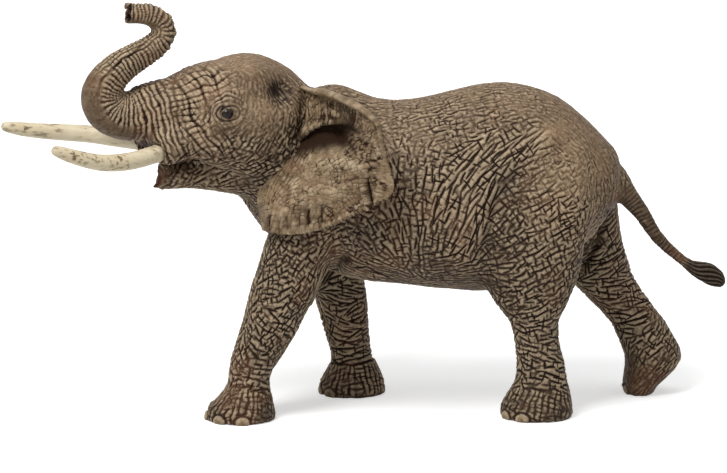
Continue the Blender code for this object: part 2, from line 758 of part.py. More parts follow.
def ear_form(name, side, size_shares, surface):
    """An ear as one sheet between its four edges, hollowed, pleated and rolled at the top."""
    tables = (ear_top_shares, ear_bottom_shares, ear_front_shares, ear_rear_shares)
    top, bottom, front, rear = [smooth_rows(shares, EAR_EDGE_STEPS) for shares in tables]
    first, last = -EAR_ROOT_COLUMNS, EAR_COLUMNS
    acrosses = np.array([index / EAR_COLUMNS for index in range(first, last + 1)])
    downs = np.array([index / EAR_ROWS for index in range(EAR_ROWS + 1)])
    sizes = np.array([EAR_SWEEP, EAR_REACH, EAR_LENGTH]) * np.array(size_shares)
    corners = (top[0], top[-1], bottom[0], bottom[-1])
    grid = np.zeros((len(downs), len(acrosses), 3))
    for row, down in enumerate(downs):
        for column, across in enumerate(acrosses):
            held = max(across, 0)
            spot = ((1 - down) * along_curve(top, held) + down * along_curve(bottom, held)
                    + (1 - held) * along_curve(front, down) + held * along_curve(rear, down)
                    - (1 - held) * (1 - down) * corners[0] - held * (1 - down) * corners[1]
                    - (1 - held) * down * corners[2] - held * down * corners[3])
            spot = spot + np.array([EAR_ROOT_LEAN_SHARE, -1, 0]) * max(-across, 0) * EAR_ROOT_SHARE
            grid[row, column] = spot * sizes
    slope_across = np.gradient(grid, axis=1)
    slope_down = np.gradient(grid, axis=0)
    outward = np.cross(slope_across, slope_down)
    outward /= np.linalg.norm(outward, axis=2, keepdims=True)
    outward *= np.sign((outward @ np.array([1.0, 1.0, 0.0])).mean())
    flat_across, flat_down = np.meshgrid(acrosses, downs)
    offset = np.zeros_like(flat_across)
    for across, down, reach, depth in ear_dent_shares:
        distance = ((flat_across - across) ** 2 + (flat_down - down) ** 2) / reach ** 2
        offset -= depth * np.exp(-distance)
    pleats = np.cos(2 * np.pi * EAR_PLEATS * flat_across)
    pleated = np.clip((flat_down - ear_pleat_start_share) / (1 - ear_pleat_start_share), 0, 1)
    offset += ear_pleat_share * pleats * pleated
    grid = grid + outward * (offset * EAR_REACH)[:, :, None]
    roll = []
    front_fade = acrosses / EAR_ROLL_START_SHARE
    rear_fade = (EAR_ROLL_LAST_SHARE - acrosses) / EAR_ROLL_FADE_SHARE
    fade = np.clip(np.minimum(front_fade, rear_fade), EAR_ROLL_END_SHARE, 1)[:, None]
    for index in range(EAR_ROLL_ROWS, 0, -1):
        angle = EAR_ROLL_TURN * index / EAR_ROLL_ROWS
        rise = -slope_down[0] / np.linalg.norm(slope_down[0], axis=1, keepdims=True)
        lift = rise * math.sin(angle) + outward[0] * (1 - math.cos(angle))
        roll.append(grid[0] + lift * EAR_ROLL_RADIUS * fade)
    grid = np.concatenate([np.array(roll), grid])
    anchor_shares = np.array([ear_forward_share, ear_side_share / 2, ear_height_share])
    anchor = anchor_shares * np.array([HEAD_LENGTH, HEAD_WIDTH, HEAD_HEIGHT])
    shape = bmesh.new()
    verts = []
    for line in grid + anchor:
        verts.append([shape.verts.new(head_place(spot[0], side * spot[1], spot[2])) for spot in line])
    for upper, lower in zip(verts, verts[1:]):
        for index in range(len(upper) - 1):
            face = (upper[index], upper[index + 1], lower[index + 1], lower[index])
            shape.faces.new(face if side < 0 else face[::-1])
    ear = from_bmesh(name, shape)
    solid = ear.modifiers.new("thickness", "SOLIDIFY")
    solid.thickness = EAR_THICKNESS
    solid.offset = 0
    settle(ear)
    middle_row = grid[EAR_ROLL_ROWS + EAR_ROWS // 2] + anchor
    middle = [head_place(spot[0], side * spot[1], spot[2]) for spot in middle_row]
    free = next(index for index, place in enumerate(middle) if is_outside(surface, place))
    return ear, middle[free + 1], (middle[free - 1] - middle[free + 1]).normalized()


def is_outside(surface, place):
    spot, normal, _, _ = surface.find_nearest(place)
    return (place - spot).dot(normal) > EAR_THICKNESS / 2


def tusk_form(name, side, length, shares):
    """A tusk with the straight root that stands in its sheath."""
    start = head_share_place(tusk_root_forward_share, side * tusk_root_side_share, tusk_root_height_share)
    line = []
    radii = []
    for forward, outward, rise, radius in smooth_rows(shares, LOFT_STEPS):
        line.append(start + head_ahead * (forward * length) + head_right * (side * outward * length)
                    + upward * (rise * length))
        radii.append(radius * TUSK_RADIUS)
    way = (line[1] - line[0]).normalized()
    root = line[0] - way * TUSK_ROOT
    tusk = swept(name, [root] + line, [TUSK_RADIUS] + radii, TUSK_SEGMENTS)
    bore_length = TUSK_ROOT + HEAD_WIDTH / 2
    bore = rod(name + "_bore", root - way * JOINT_GAP, way, bore_length, TUSK_RADIUS + JOINT_GAP)
    return tusk, bore


def tail_line():
    """Places and radii along the tail."""
    start = Vector((body_x(tail_root_share), 0, body_z(tail_height_share)))
    line = []
    radii = []
    for along, drop, radius in smooth_rows(tail_shares, LOFT_STEPS):
        line.append(start + Vector((along * TAIL_LENGTH, 0, -drop * TAIL_DROP)))
        radii.append(radius * TAIL_ROOT_RADIUS)
    return line, radii


def skin_surface(skin):
    corners = [vert.co.copy() for vert in skin.data.vertices]
    return BVHTree.FromPolygons(corners, [tuple(face.vertices) for face in skin.data.polygons])


def brush_head(skin):
    """Pushes the skin of the head in or out in soft round strokes, alike on both sides."""
    count = len(skin.data.vertices)
    places = np.empty(count * 3)
    normals = np.empty(count * 3)
    skin.data.vertices.foreach_get("co", places)
    skin.data.vertices.foreach_get("normal", normals)
    places = places.reshape(-1, 3)
    normals = normals.reshape(-1, 3)
    moves = np.zeros(count)
    for side in (-1, 1):
        for forward, out, height, reach, depth in brush_shares:
            centre = np.array(head_share_place(forward, side * out, height))
            distance = np.linalg.norm(places - centre, axis=1) / (reach * HEAD_LENGTH)
            moves += depth * HEAD_WIDTH * np.exp(-distance ** 2)
    skin.data.vertices.foreach_set("co", (places + normals * moves[:, None]).ravel())
    skin.data.update()


def grown(skin, name, distance):
    """A copy of the skin that stands a little further out."""
    twin = copy_of(skin, name)
    modifier = twin.modifiers.new("grow", "DISPLACE")
    modifier.mid_level = 0
    modifier.strength = distance
    return settle(twin)


def lean_frame(place, lean, roll=0.0):
    """Axes at a joint: the leg runs down local -Z, leaning back by an angle and rolled sideways."""
    return Matrix.Translation(place) @ Matrix.Rotation(-lean, 4, "Y") @ Matrix.Rotation(roll, 4, "X")


def leg_joint(name):
    joint = leg_joints[name]
    centre, half_depth, half_width = leg_section(name, joint["height_share"])
    side = legs[name][3]
    frame = lean_frame(centre, math.radians(joint["lean_angle"]), side * math.radians(joint["roll_angle"]))
    return frame, centre, half_depth, half_width


def leg_region(name, growth):
    """The space below a leg's joint, as a cutter, grown past the joint by a gap."""
    frame, centre, half_depth, half_width = leg_joint(name)
    side = legs[name][3]
    inner = leg_joints[name]["inner_share"] * BODY_WIDTH / 2 - abs(centre.y)
    outer = half_width * LEG_CUT_SHARE
    low_side, high_side = sorted((side * inner, side * outer))
    low = (-half_depth * leg_joints[name]["front_share"], low_side, -CUTTER_SHARE * centre.z)
    high = (half_depth * leg_joints[name]["rear_share"], high_side, growth)
    return block(name + "_region", low, high, frame)


def neck_frame():
    """Axes at the neck joint: the head lies along local -X."""
    centre = head_share_place(neck_joint_forward_share, 0, neck_joint_height_share)
    turn = Matrix.Rotation(head_turn, 4, "Z") @ Matrix.Rotation(math.radians(NECK_JOINT_ANGLE), 4, "Y")
    return Matrix.Translation(centre) @ turn


def neck_region(growth):
    """All that lies in front of the neck joint, as a cutter."""
    high = HEAD_HEIGHT * NECK_CUT_SHARE
    low_corner = (-CUTTER_SHARE * HEAD_LENGTH, -HEAD_WIDTH, -high)
    return block("neck_region", low_corner, (growth, HEAD_WIDTH, high), neck_frame())


def neck_plug(growth):
    """The neck's spigot or its socket. It lies along the seam of the body, so each shell holds a half."""
    centre = neck_frame().translation
    middle = centre - head_right * (centre.y / head_right.y)
    lean = math.radians(NECK_JOINT_ANGLE)
    way = Vector((math.cos(lean), 0, -math.sin(lean)))
    return middle - way * OVERRUN, way, OVERRUN + SPIGOT_LENGTH + growth, SPIGOT_RADIUS + growth


def leg_plug(name, growth):
    """Start, direction, length and radius of a leg's spigot, or of its socket with a gap."""
    frame = leg_joint(name)[0]
    start = frame @ Vector((0, 0, -OVERRUN))
    return start, frame.to_3x3() @ upward, OVERRUN + SPIGOT_LENGTH + growth, SPIGOT_RADIUS + growth


def tail_plug(surface, growth):
    """The tail's peg or its socket, from where the tail's line has left the skin back into the body."""
    line = tail_line()[0]
    free = next(index for index, place in enumerate(line) if is_outside(surface, place))
    back = line[free - 1] - line[free + 1]
    length = (line[free] - line[free + 1]).length + SPIGOT_LENGTH
    return line[free + 1], back.normalized(), length + growth, TAIL_PEG_RADIUS + growth


def split_torso(skin, surface):
    """The hollow body between the joints, parted along its middle into two shells with locating pins."""
    torso = combine(copy_of(skin, "torso"), neck_region(JOINT_GAP), "DIFFERENCE")
    for name in legs:
        combine(torso, leg_region(name, JOINT_GAP), "DIFFERENCE")
    largest_body(torso)
    plugs = [leg_plug(name, JOINT_GAP) for name in legs]
    plugs += [neck_plug(JOINT_GAP), tail_plug(surface, JOINT_GAP)]
    for plug in plugs:
        combine(torso, rod("socket", *plug), "DIFFERENCE")
    combine(torso, cavity_form(), "DIFFERENCE")
    reach = CUTTER_SHARE * BODY_LENGTH
    shells = {}
    for name, side in (("torso_left_shell", -1), ("torso_right_shell", 1)):
        low, high = sorted((side * JOINT_GAP / 2, side * BODY_WIDTH))
        half = block("half", (-reach, low, -reach), (reach, high, reach))
        shells[name] = combine(copy_of(torso, name), half, "INTERSECT")
    bpy.data.objects.remove(torso, do_unlink=True)
    rows = smooth_rows(torso_shares, LOFT_STEPS)
    for share in pin_shares:
        for edge in (1, 2):
            height = body_z(float(np.interp(share, rows[:, 0], rows[:, edge])))
            inward = -WALL / 2 if edge == 1 else WALL / 2
            place = Vector((body_x(share), 0, height + inward))
            pin = rod("pin", place - Vector((0, OVERRUN, 0)), (0, 1, 0), OVERRUN + LOCATING_PIN_LENGTH,
                      LOCATING_PIN_RADIUS, PIN_SEGMENTS)
            combine(shells["torso_left_shell"], pin, "UNION")
            bore = rod("bore", place - Vector((0, OVERRUN, 0)), (0, 1, 0),
                       OVERRUN + LOCATING_PIN_LENGTH + JOINT_GAP, LOCATING_PIN_RADIUS + JOINT_GAP,
                       PIN_SEGMENTS)
            combine(shells["torso_right_shell"], bore, "DIFFERENCE")
    return shells


def make_leg(skin, name):
    """A leg below its joint, with its spigot, a flat sole and its toenails."""
    leg = largest_body(combine(copy_of(skin, name), leg_region(name, 0), "INTERSECT"))
    reach = CUTTER_SHARE * BODY_LENGTH
    below = block("below_floor", (-reach, -reach, -reach), (reach, reach, 0))
    combine(leg, below, "DIFFERENCE")
    combine(leg, rod("spigot", *leg_plug(name, 0)), "UNION")
    centre, half_depth, half_width = leg_section(name, nail_height_share)
    side = legs[name][3]
    angles = fore_nail_angles if name.endswith("foreleg") else hind_nail_angles
    for bearing in angles:
        turn = math.radians(bearing)
        ahead = -math.cos(turn)
        aside = side * math.sin(turn)
        place = centre + Vector((ahead * half_depth, aside * half_width, 0)) * nail_seat_share
        facing = Matrix.Rotation(math.atan2(aside / half_width, ahead / half_depth), 4, "Z")
        half_sizes = (NAIL_THICKNESS, NAIL_WIDTH / 2, NAIL_HEIGHT / 2)
        nail = ball("nail", place, half_sizes, facing, NAIL_SEGMENTS, NAIL_RINGS)
        combine(leg, nail, "UNION")
    return leg


def eye_place(surface, side):
    """Where a line from outside meets the side of the head at the height of the eye."""
    far = head_share_place(eye_forward_share, side * EYE_SIGHT_SHARE, eye_height_share)
    hit = surface.ray_cast(far, head_right * -side)[0]
    return hit - head_right * (side * EYE_RADIUS * eye_depth_share)


def make_head(skin, surface):
    """Head without trunk and lower jaw, with the seats of all that plugs into it."""
    head = largest_body(combine(copy_of(skin, "head"), neck_region(0), "INTERSECT"))
    combine(head, rod("neck_spigot", *neck_plug(0)), "UNION")
    combine(head, jaw_region(JOINT_GAP), "DIFFERENCE")
    combine(head, trunk_region(JOINT_GAP), "DIFFERENCE")
    combine(head, rod("jaw_socket", *jaw_plug(JOINT_GAP)), "DIFFERENCE")
    combine(head, rod("trunk_socket", *trunk_plug(JOINT_GAP)), "DIFFERENCE")
    for side in (-1, 1):
        reach = EYE_RADIUS + JOINT_GAP
        combine(head, ball("eye_socket", eye_place(surface, side), (reach, reach, reach)), "DIFFERENCE")
    return largest_body(head)


def jaw_region(growth):
    turn = Matrix.Translation(neck_pivot + upward * THROAT_HEIGHT) @ Matrix.Rotation(head_turn, 4, "Z")
    rear = -jaw_joint_share * HEAD_LENGTH + growth
    low = (-CUTTER_SHARE * HEAD_LENGTH, -HEAD_WIDTH, -HEAD_HEIGHT)
    high = (rear, HEAD_WIDTH, mouth_roof_share * HEAD_HEIGHT + growth)
    return block("jaw_region", low, high, turn)


def jaw_plug(growth):
    """Start, direction, length and radius of the jaw's spigot, or of its socket with a gap."""
    start = head_place(jaw_joint_share * HEAD_LENGTH + OVERRUN, 0, jaw_spigot_height_share * HEAD_HEIGHT)
    return start, -head_ahead, OVERRUN + SPIGOT_LENGTH + growth, JAW_SPIGOT_RADIUS + growth


def trunk_joint():
    places, radii, distances = trunk_line(TRUNK_STEPS)
    at = trunk_joint_share * distances[-1]
    place = Vector([np.interp(at, distances, places[:, axis]) for axis in range(3)])
    index = int(np.searchsorted(distances, at))
    way = Vector(places[index + 1] - places[index - 1]).normalized()
    return place, way, float(np.interp(at, distances, radii))


def trunk_region(growth):
    place, way, radius = trunk_joint()
    frame = Matrix.Translation(place) @ way.to_track_quat("X", "Z").to_matrix().to_4x4()
    reach = radius * TRUNK_CUT_SHARE
    far = CUTTER_SHARE * TRUNK_REACH
    return block("trunk_region", (-growth, -reach, -reach), (far, reach, reach), frame)


def trunk_plug(growth):
    place, way, _ = trunk_joint()
    return place + way * OVERRUN, -way, OVERRUN + SPIGOT_LENGTH + growth, SPIGOT_RADIUS + growth


def make_trunk():
    """The raised trunk with its ringed upper side, the two nostrils and the finger over them."""
    trunk = trunk_form("trunk", trunk_joint_share, 1, True)
    combine(trunk, rod("trunk_spigot", *trunk_plug(0)), "UNION")
    places, radii, _ = trunk_line(1)
    tip = Vector(places[-1])
    way = Vector(places[-1] - places[-2]).normalized()
    up = head_right.cross(way).normalized()
    radius = float(radii[-1])
    axes = Matrix((way, head_right, up)).transposed().to_4x4()
    half_sizes = [radius * share for share in finger_size_shares]
    combine(trunk, ball("finger", tip + up * (radius * finger_height_share), half_sizes, axes), "UNION")
    for side in (-1, 1):
        start = tip + head_right * (side * radius * nostril_side_share) - up * (radius * nostril_drop_share)
        nostril = rod("nostril", start + way * OVERRUN, -way, NOSTRIL_DEPTH + OVERRUN, NOSTRIL_RADIUS,
                      PIN_SEGMENTS)
        combine(trunk, nostril, "DIFFERENCE")
    return trunk


def make_jaw(skin):
    jaw = largest_body(combine(copy_of(skin, "lower_jaw"), jaw_region(0), "INTERSECT"))
    return combine(jaw, rod("jaw_spigot", *jaw_plug(0)), "UNION")


def linear(colour):
    """Screen colour shares as the linear values that a material takes."""
    return [value / 12.92 if value <= 0.04045 else ((value + 0.055) / 1.055) ** 2.4 for value in colour]


def paint(item, colour, roughness):
    material = bpy.data.materials.new(item.name + "_paint")
    material.use_nodes = True
    shader = material.node_tree.nodes["Principled BSDF"]
    shader.inputs["Base Color"].default_value = (*linear(colour), 1)
    shader.inputs["Roughness"].default_value = roughness
    item.data.materials.clear()
    item.data.materials.append(material)


def main():
    bodies = [loft("torso_form", torso_rings())] + [leg_form(name) for name in legs] + head_forms()
    skin = fuse("skin", bodies)
    brush_head(skin)
    thin_out(skin, SKIN_TRIANGLES)
    largest_body(skin)
    surface = skin_surface(skin)
    pieces = split_torso(skin, surface)
    for name in legs:
        pieces[name] = make_leg(skin, name)
    head = make_head(skin, surface)
    pieces["head"] = head
    pieces["lower_jaw"] = make_jaw(skin)
    pieces["trunk"] = make_trunk()
    outer = grown(skin, "outer", JOINT_GAP)
    tusks = (("left_tusk", -1, LEFT_TUSK_LENGTH, left_tusk_shares),
             ("right_tusk", 1, RIGHT_TUSK_LENGTH, right_tusk_shares))
    for name, side, length, shares in tusks:
        tusk, bore = tusk_form(name, side, length, shares)
        combine(head, bore, "DIFFERENCE")
        pieces[name] = tusk
    for name, side, shares in (("left_ear", -1, (1, 1, 1)), ("right_ear", 1, right_ear_size_shares)):
        ear, root, inward = ear_form(name, side, shares, surface)
        combine(ear, outer, "DIFFERENCE", keep=True)
        largest_body(ear)
        combine(ear, rod("ear_peg", root, inward, EAR_PEG_LENGTH, EAR_PEG_RADIUS, PIN_SEGMENTS), "UNION")
        seat = rod("ear_seat", root, inward, EAR_PEG_LENGTH + JOINT_GAP, EAR_PEG_RADIUS + JOINT_GAP,
                   PIN_SEGMENTS)
        combine(head, seat, "DIFFERENCE")
        pieces[name] = ear
    tail = largest_body(combine(swept("tail", *tail_line(), TAIL_SEGMENTS), outer, "DIFFERENCE"))
    pieces["tail"] = combine(tail, rod("tail_peg", *tail_plug(surface, 0)), "UNION")
    for name, side in (("left_eye", -1), ("right_eye", 1)):
        pieces[name] = ball(name, eye_place(surface, side), (EYE_RADIUS, EYE_RADIUS, EYE_RADIUS))
    bpy.data.objects.remove(skin, do_unlink=True)

    places = [vert.co for item in pieces.values() for vert in item.data.vertices]
    low = Vector([min(place[axis] for place in places) for axis in range(3)])
    high = Vector([max(place[axis] for place in places) for axis in range(3)])
    base = bpy.data.objects.new("figure_origin", None)
    figure.objects.link(base)
    base.location = (-(low.x + high.x) / 2, -(low.y + high.y) / 2, -low.z)
    for name, item in pieces.items():
        item.name = name
        forms.objects.unlink(item)
        figure.objects.link(item)
        item.parent = base
        colour, roughness = finishes[name.replace("left_", "").replace("right_", "").replace("torso_", "")]
        paint(item, colour, roughness)
        item.data.shade_smooth()
        item.data.set_sharp_from_angle(angle=SHARP_ANGLE)
    print("size", [round(value, 5) for value in high - low])
    print("moved", [round(value, 5) for value in base.location])


for leftover in list(bpy.data.objects):
    bpy.data.objects.remove(leftover, do_unlink=True)
figure = new_collection(FIGURE_NAME)
forms = new_collection("cutters")
main()
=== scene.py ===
import json
import math

import bpy
import numpy as np
from mathutils import Matrix, Vector
from mathutils.kdtree import KDTree

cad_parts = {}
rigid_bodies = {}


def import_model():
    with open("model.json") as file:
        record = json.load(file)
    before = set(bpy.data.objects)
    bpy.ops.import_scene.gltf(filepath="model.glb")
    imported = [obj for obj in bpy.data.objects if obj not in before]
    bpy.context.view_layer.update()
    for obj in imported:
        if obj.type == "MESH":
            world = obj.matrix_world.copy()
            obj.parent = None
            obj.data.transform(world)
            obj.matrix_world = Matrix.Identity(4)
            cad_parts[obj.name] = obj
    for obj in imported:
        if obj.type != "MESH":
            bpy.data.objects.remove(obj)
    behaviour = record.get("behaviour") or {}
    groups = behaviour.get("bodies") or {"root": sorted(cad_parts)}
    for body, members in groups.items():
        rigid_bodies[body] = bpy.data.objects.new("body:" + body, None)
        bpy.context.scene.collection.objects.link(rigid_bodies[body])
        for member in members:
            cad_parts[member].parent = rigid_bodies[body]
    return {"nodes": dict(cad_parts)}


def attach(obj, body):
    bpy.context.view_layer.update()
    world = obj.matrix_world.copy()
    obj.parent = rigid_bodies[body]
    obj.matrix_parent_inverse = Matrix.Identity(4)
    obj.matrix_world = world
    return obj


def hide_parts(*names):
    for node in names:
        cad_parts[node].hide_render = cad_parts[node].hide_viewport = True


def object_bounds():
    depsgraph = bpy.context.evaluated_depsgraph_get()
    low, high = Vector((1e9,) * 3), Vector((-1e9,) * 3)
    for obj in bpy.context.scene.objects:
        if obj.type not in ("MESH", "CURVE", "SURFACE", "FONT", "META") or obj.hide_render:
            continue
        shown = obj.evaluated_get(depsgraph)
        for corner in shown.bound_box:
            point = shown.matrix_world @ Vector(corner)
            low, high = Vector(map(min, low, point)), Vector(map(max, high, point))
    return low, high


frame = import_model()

# Looks of a hand-painted elephant figure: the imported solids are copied, softened into one hide,
# carved with folds, parted again at the glue joints and painted.
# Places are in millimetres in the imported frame. The elephant walks towards -X, its left side is -Y.

nodes = frame["nodes"]
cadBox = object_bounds()
millimetre = 0.001

picture = {
    "width": 727,
    "height": 473,
    "focal": 4160.0,              # of the lens, in pixels
    "distance": 1200.0,
    "elevation": 11.0,
    "target": (-0.9, 6.76, 49.6),
}
head = {
    "turn": 21.0,
    "pivot": (-12.91, 6.76, 63.07),
    "neck": (-22.28, 3.17, 78.08),     # on the plane that parts it from the body
    "neckWay": (0.7647, 0.2936, -0.5736),
}
hide = {
    "cell": 0.66,                 # of the first remesh
    "swell": 0.18,                # closes the glue gaps before the remesh
    "softening": 26,              # passes that take the facets away
    "middle": 6.76,               # plane between the body shells
    "leftShare": 0.90,            # of the faces that each body shell keeps
    "rightShare": 0.78,
}

# Small helpers


def deselectAll():
    if bpy.context.object and bpy.context.object.mode != "OBJECT":
        bpy.ops.object.mode_set(mode="OBJECT")
    bpy.ops.object.select_all(action="DESELECT")


def pick(piece):
    deselectAll()
    piece.select_set(True)
    bpy.context.view_layer.objects.active = piece
    return piece


def inEditMode(piece, operator, **settings):
    # runs an operator on everything in a piece
    pick(piece)
    bpy.ops.object.mode_set(mode="EDIT")
    bpy.ops.mesh.select_all(action="SELECT")
    operator(**settings)
    bpy.ops.object.mode_set(mode="OBJECT")


def addModifier(piece, name, kind, **settings):
    modifier = piece.modifiers.new(name, kind)
    modifier.show_viewport = False
    for key, value in settings.items():
        setattr(modifier, key, value)


def applyAll(piece):
    pick(piece)
    for modifier in list(piece.modifiers):
        bpy.ops.object.modifier_apply(modifier=modifier.name)
    return piece


def readPlaces(piece):
    flat = np.empty(len(piece.data.vertices) * 3, np.float32)
    piece.data.vertices.foreach_get("co", flat)
    return flat.reshape(-1, 3).astype(float) * 1000


def writePlaces(piece, places):
    piece.data.vertices.foreach_set("co", (np.asarray(places) / 1000).astype(np.float32).ravel())
    piece.data.update()


def readNormals(piece):
    flat = np.empty(len(piece.data.vertices) * 3, np.float32)
    piece.data.vertex_normals.foreach_get("vector", flat)
    return flat.reshape(-1, 3).astype(float)


def readValues(piece, name):
    values = np.empty(len(piece.data.vertices), np.float32)
    piece.data.attributes[name].data.foreach_get("value", values)
    return values


def writeValues(piece, name, values):
    attribute = piece.data.attributes.get(name) or piece.data.attributes.new(name, "FLOAT", "POINT")
    attribute.data.foreach_set("value", np.asarray(values, np.float32))


def smoothStep(low, high, values):
    t = np.clip((values - low) / (high - low), 0, 1)
    return t * t * (3 - 2 * t)


def unit(vectors):
    return vectors / np.maximum(np.linalg.norm(vectors, axis=-1, keepdims=True), 1e-9)


def hashed(ix, iy, iz, seed):
    # a steady pseudo-random share for each corner of a lattice
    with np.errstate(over="ignore"):
        key = (ix.astype(np.uint32) * np.uint32(73856093)) ^ (iy.astype(np.uint32) * np.uint32(19349663))
        key ^= (iz.astype(np.uint32) * np.uint32(83492791)) ^ np.uint32((seed * 2654435761) & 0xFFFFFFFF)
        key ^= key >> np.uint32(13)
        key *= np.uint32(1540483477)
        key ^= key >> np.uint32(15)
        key *= np.uint32(2246822519)
        key ^= key >> np.uint32(13)
    return (key & np.uint32(0xFFFFFF)).astype(np.float64) / 16777216.0


neighbours = [(dx, dy, dz) for dx in (-1, 0, 1) for dy in (-1, 0, 1) for dz in (-1, 0, 1)]


def cloud(points, size, seed=0):
    # soft noise from -1 to 1 with lumps of a size in millimetres
    spot = points / size
    low = np.floor(spot).astype(np.int64)
    part = spot - low
    part = part * part * (3 - 2 * part)
    total = np.zeros(len(points))
    for dx in (0, 1):
        for dy in (0, 1):
            for dz in (0, 1):
                weight = ((part[:, 0] if dx else 1 - part[:, 0]) * (part[:, 1] if dy else 1 - part[:, 1])
                          * (part[:, 2] if dz else 1 - part[:, 2]))
                total += weight * hashed(low[:, 0] + dx, low[:, 1] + dy, low[:, 2] + dz, seed)
    return total * 2 - 1


def cells(points, size, seed=0):
    # how far each point is from the border of its cell, in millimetres, and a share for each cell
    spot = points / size
    low = np.floor(spot).astype(np.int64)
    nearest = np.full(len(points), 9.0)
    second = np.full(len(points), 9.0)
    share = np.zeros(len(points))
    for dx, dy, dz in neighbours:
        cx, cy, cz = low[:, 0] + dx, low[:, 1] + dy, low[:, 2] + dz
        ox = cx + hashed(cx, cy, cz, seed) - spot[:, 0]
        oy = cy + hashed(cx, cy, cz, seed + 1) - spot[:, 1]
        oz = cz + hashed(cx, cy, cz, seed + 2) - spot[:, 2]
        gap = np.sqrt(ox * ox + oy * oy + oz * oz)
        closer = gap < nearest
        second = np.where(closer, nearest, np.minimum(second, gap))
        share = np.where(closer, hashed(cx, cy, cz, seed + 3), share)
        nearest = np.where(closer, gap, nearest)
    return (second - nearest) * size / 2, share


def ridge(phase, spacing, width):
    # a line profile at every whole number of a phase
    off = (phase - np.round(phase)) * spacing
    return np.exp(-(off / width) ** 2)


def pictureSpots(points):
    # where points appear in the photograph, in its pixels
    lean = math.radians(picture["elevation"])
    way = np.array([0, math.cos(lean), -math.sin(lean)])
    up = np.array([0, math.sin(lean), math.cos(lean)])
    rel = points - (np.array(picture["target"]) - way * picture["distance"])
    depth = rel @ way
    across = picture["width"] / 2 + picture["focal"] * rel[:, 0] / depth
    down = picture["height"] / 2 - picture["focal"] * (rel @ up) / depth
    return np.stack([across, down], axis=1)


def blot(spots, x, y, across, down):
    # soft patch round a place in the photograph, 1 at its middle
    return np.exp(-((spots[:, 0] - x) / across) ** 2 - ((spots[:, 1] - y) / down) ** 2)


def strokeNear(spots, path, width):
    # strength of a brush stroke along a path of pixels, tapering to both ends
    path = np.array(path, float)
    result = np.zeros(len(spots))
    low = path.min(0) - 3 * width
    high = path.max(0) + 3 * width
    inside = np.nonzero(((spots > low) & (spots < high)).all(1))[0]
    if not len(inside):
        return result
    near = spots[inside]
    lengths = np.linalg.norm(np.diff(path, axis=0), axis=1)
    starts = np.concatenate([[0], np.cumsum(lengths)])
    best = np.full(len(near), 1e9)
    along = np.zeros(len(near))
    for index in range(len(path) - 1):
        way = path[index + 1] - path[index]
        t = np.clip(((near - path[index]) @ way) / max(way @ way, 1e-9), 0, 1)
        gap = np.linalg.norm(near - path[index] - t[:, None] * way, axis=1)
        closer = gap < best
        along = np.where(closer, (starts[index] + t * lengths[index]) / starts[-1], along)
        best = np.minimum(best, gap)
    taper = np.clip(np.minimum(along, 1 - along) * 5 + 0.25, 0, 1)
    result[inside] = np.exp(-(best / width) ** 2) * taper
    return result


headTurn = math.radians(head["turn"])
headAhead = np.array([-math.cos(headTurn), -math.sin(headTurn), 0])
headRight = np.array([-math.sin(headTurn), math.cos(headTurn), 0])
headUp = np.array([0, 0, 1.0])


def headPlace(forward, side, height):
    return np.array(head["pivot"]) + headAhead * forward + headRight * side + headUp * height


def inHead(points):
    # forward, side and height of points in the head's own axes
    rel = points - np.array(head["pivot"])
    return np.stack([rel @ headAhead, rel @ headRight, rel @ headUp], axis=1)


def copyOfNode(name, label):
    piece = bpy.data.objects.new(label, nodes[name].data.copy())
    bpy.context.scene.collection.objects.link(piece)
    piece.data.materials.clear()
    inEditMode(piece, bpy.ops.mesh.remove_doubles, threshold=0.000002)
    return piece


def neighbourMean(values, edges):
    first, second = edges.T
    count = len(values)
    links = np.bincount(first, minlength=count) + np.bincount(second, minlength=count)
    return (np.bincount(first, weights=values[second], minlength=count)
            + np.bincount(second, weights=values[first], minlength=count)) / links


def softened(places, edges, passes, inward=0.53, outward=-0.55):
    # rounds the facets off and keeps the volume
    for _ in range(passes):
        for factor in (inward, outward):
            mean = np.stack([neighbourMean(column, edges) for column in places.T], axis=1)
            places = places + factor * (mean - places)
    return places


def edgesOf(piece):
    flat = np.empty(len(piece.data.edges) * 2, np.int32)
    piece.data.edges.foreach_get("vertices", flat)
    return flat.reshape(-1, 2)


def keepLargest(piece):
    # deletes every loose part but the largest
    inEditMode(piece, bpy.ops.mesh.separate, type="LOOSE")
    parts = sorted(bpy.context.selected_objects, key=lambda item: len(item.data.vertices))
    for part in parts[:-1]:
        bpy.data.objects.remove(part, do_unlink=True)
    return parts[-1]


# The hide: one skin over body, head, trunk, legs and tail

skinNodes = ["torso_left_shell", "torso_right_shell", "head", "lower_jaw", "trunk", "left_eye", "right_eye",
             "left_foreleg", "right_foreleg", "left_hindleg", "right_hindleg", "tail"]


def makeHide():
    copies = [copyOfNode(name, "hide_" + name) for name in skinNodes]
    deselectAll()
    for item in copies:
        item.select_set(True)
    bpy.context.view_layer.objects.active = copies[0]
    bpy.ops.object.join()
    skin = bpy.context.object
    addModifier(skin, "swell", "DISPLACE", mid_level=0, strength=hide["swell"] * millimetre)
    cell = hide["cell"] * millimetre * 1
    addModifier(skin, "skin", "REMESH", mode="VOXEL", voxel_size=cell)
    applyAll(skin)
    skin = keepLargest(skin)
    skin.name = "hide"
    places = softened(readPlaces(skin), edgesOf(skin), hide["softening"])
    writePlaces(skin, places)
    places = places - readNormals(skin) * hide["swell"]
    writePlaces(skin, places)
    addModifier(skin, "finer", "SUBSURF", levels=1, render_levels=1)
    applyAll(skin)
    return skin


skin = makeHide()
print("hide: faces", len(skin.data.polygons))

# Lines that the folds follow: places down each limb, with its radius

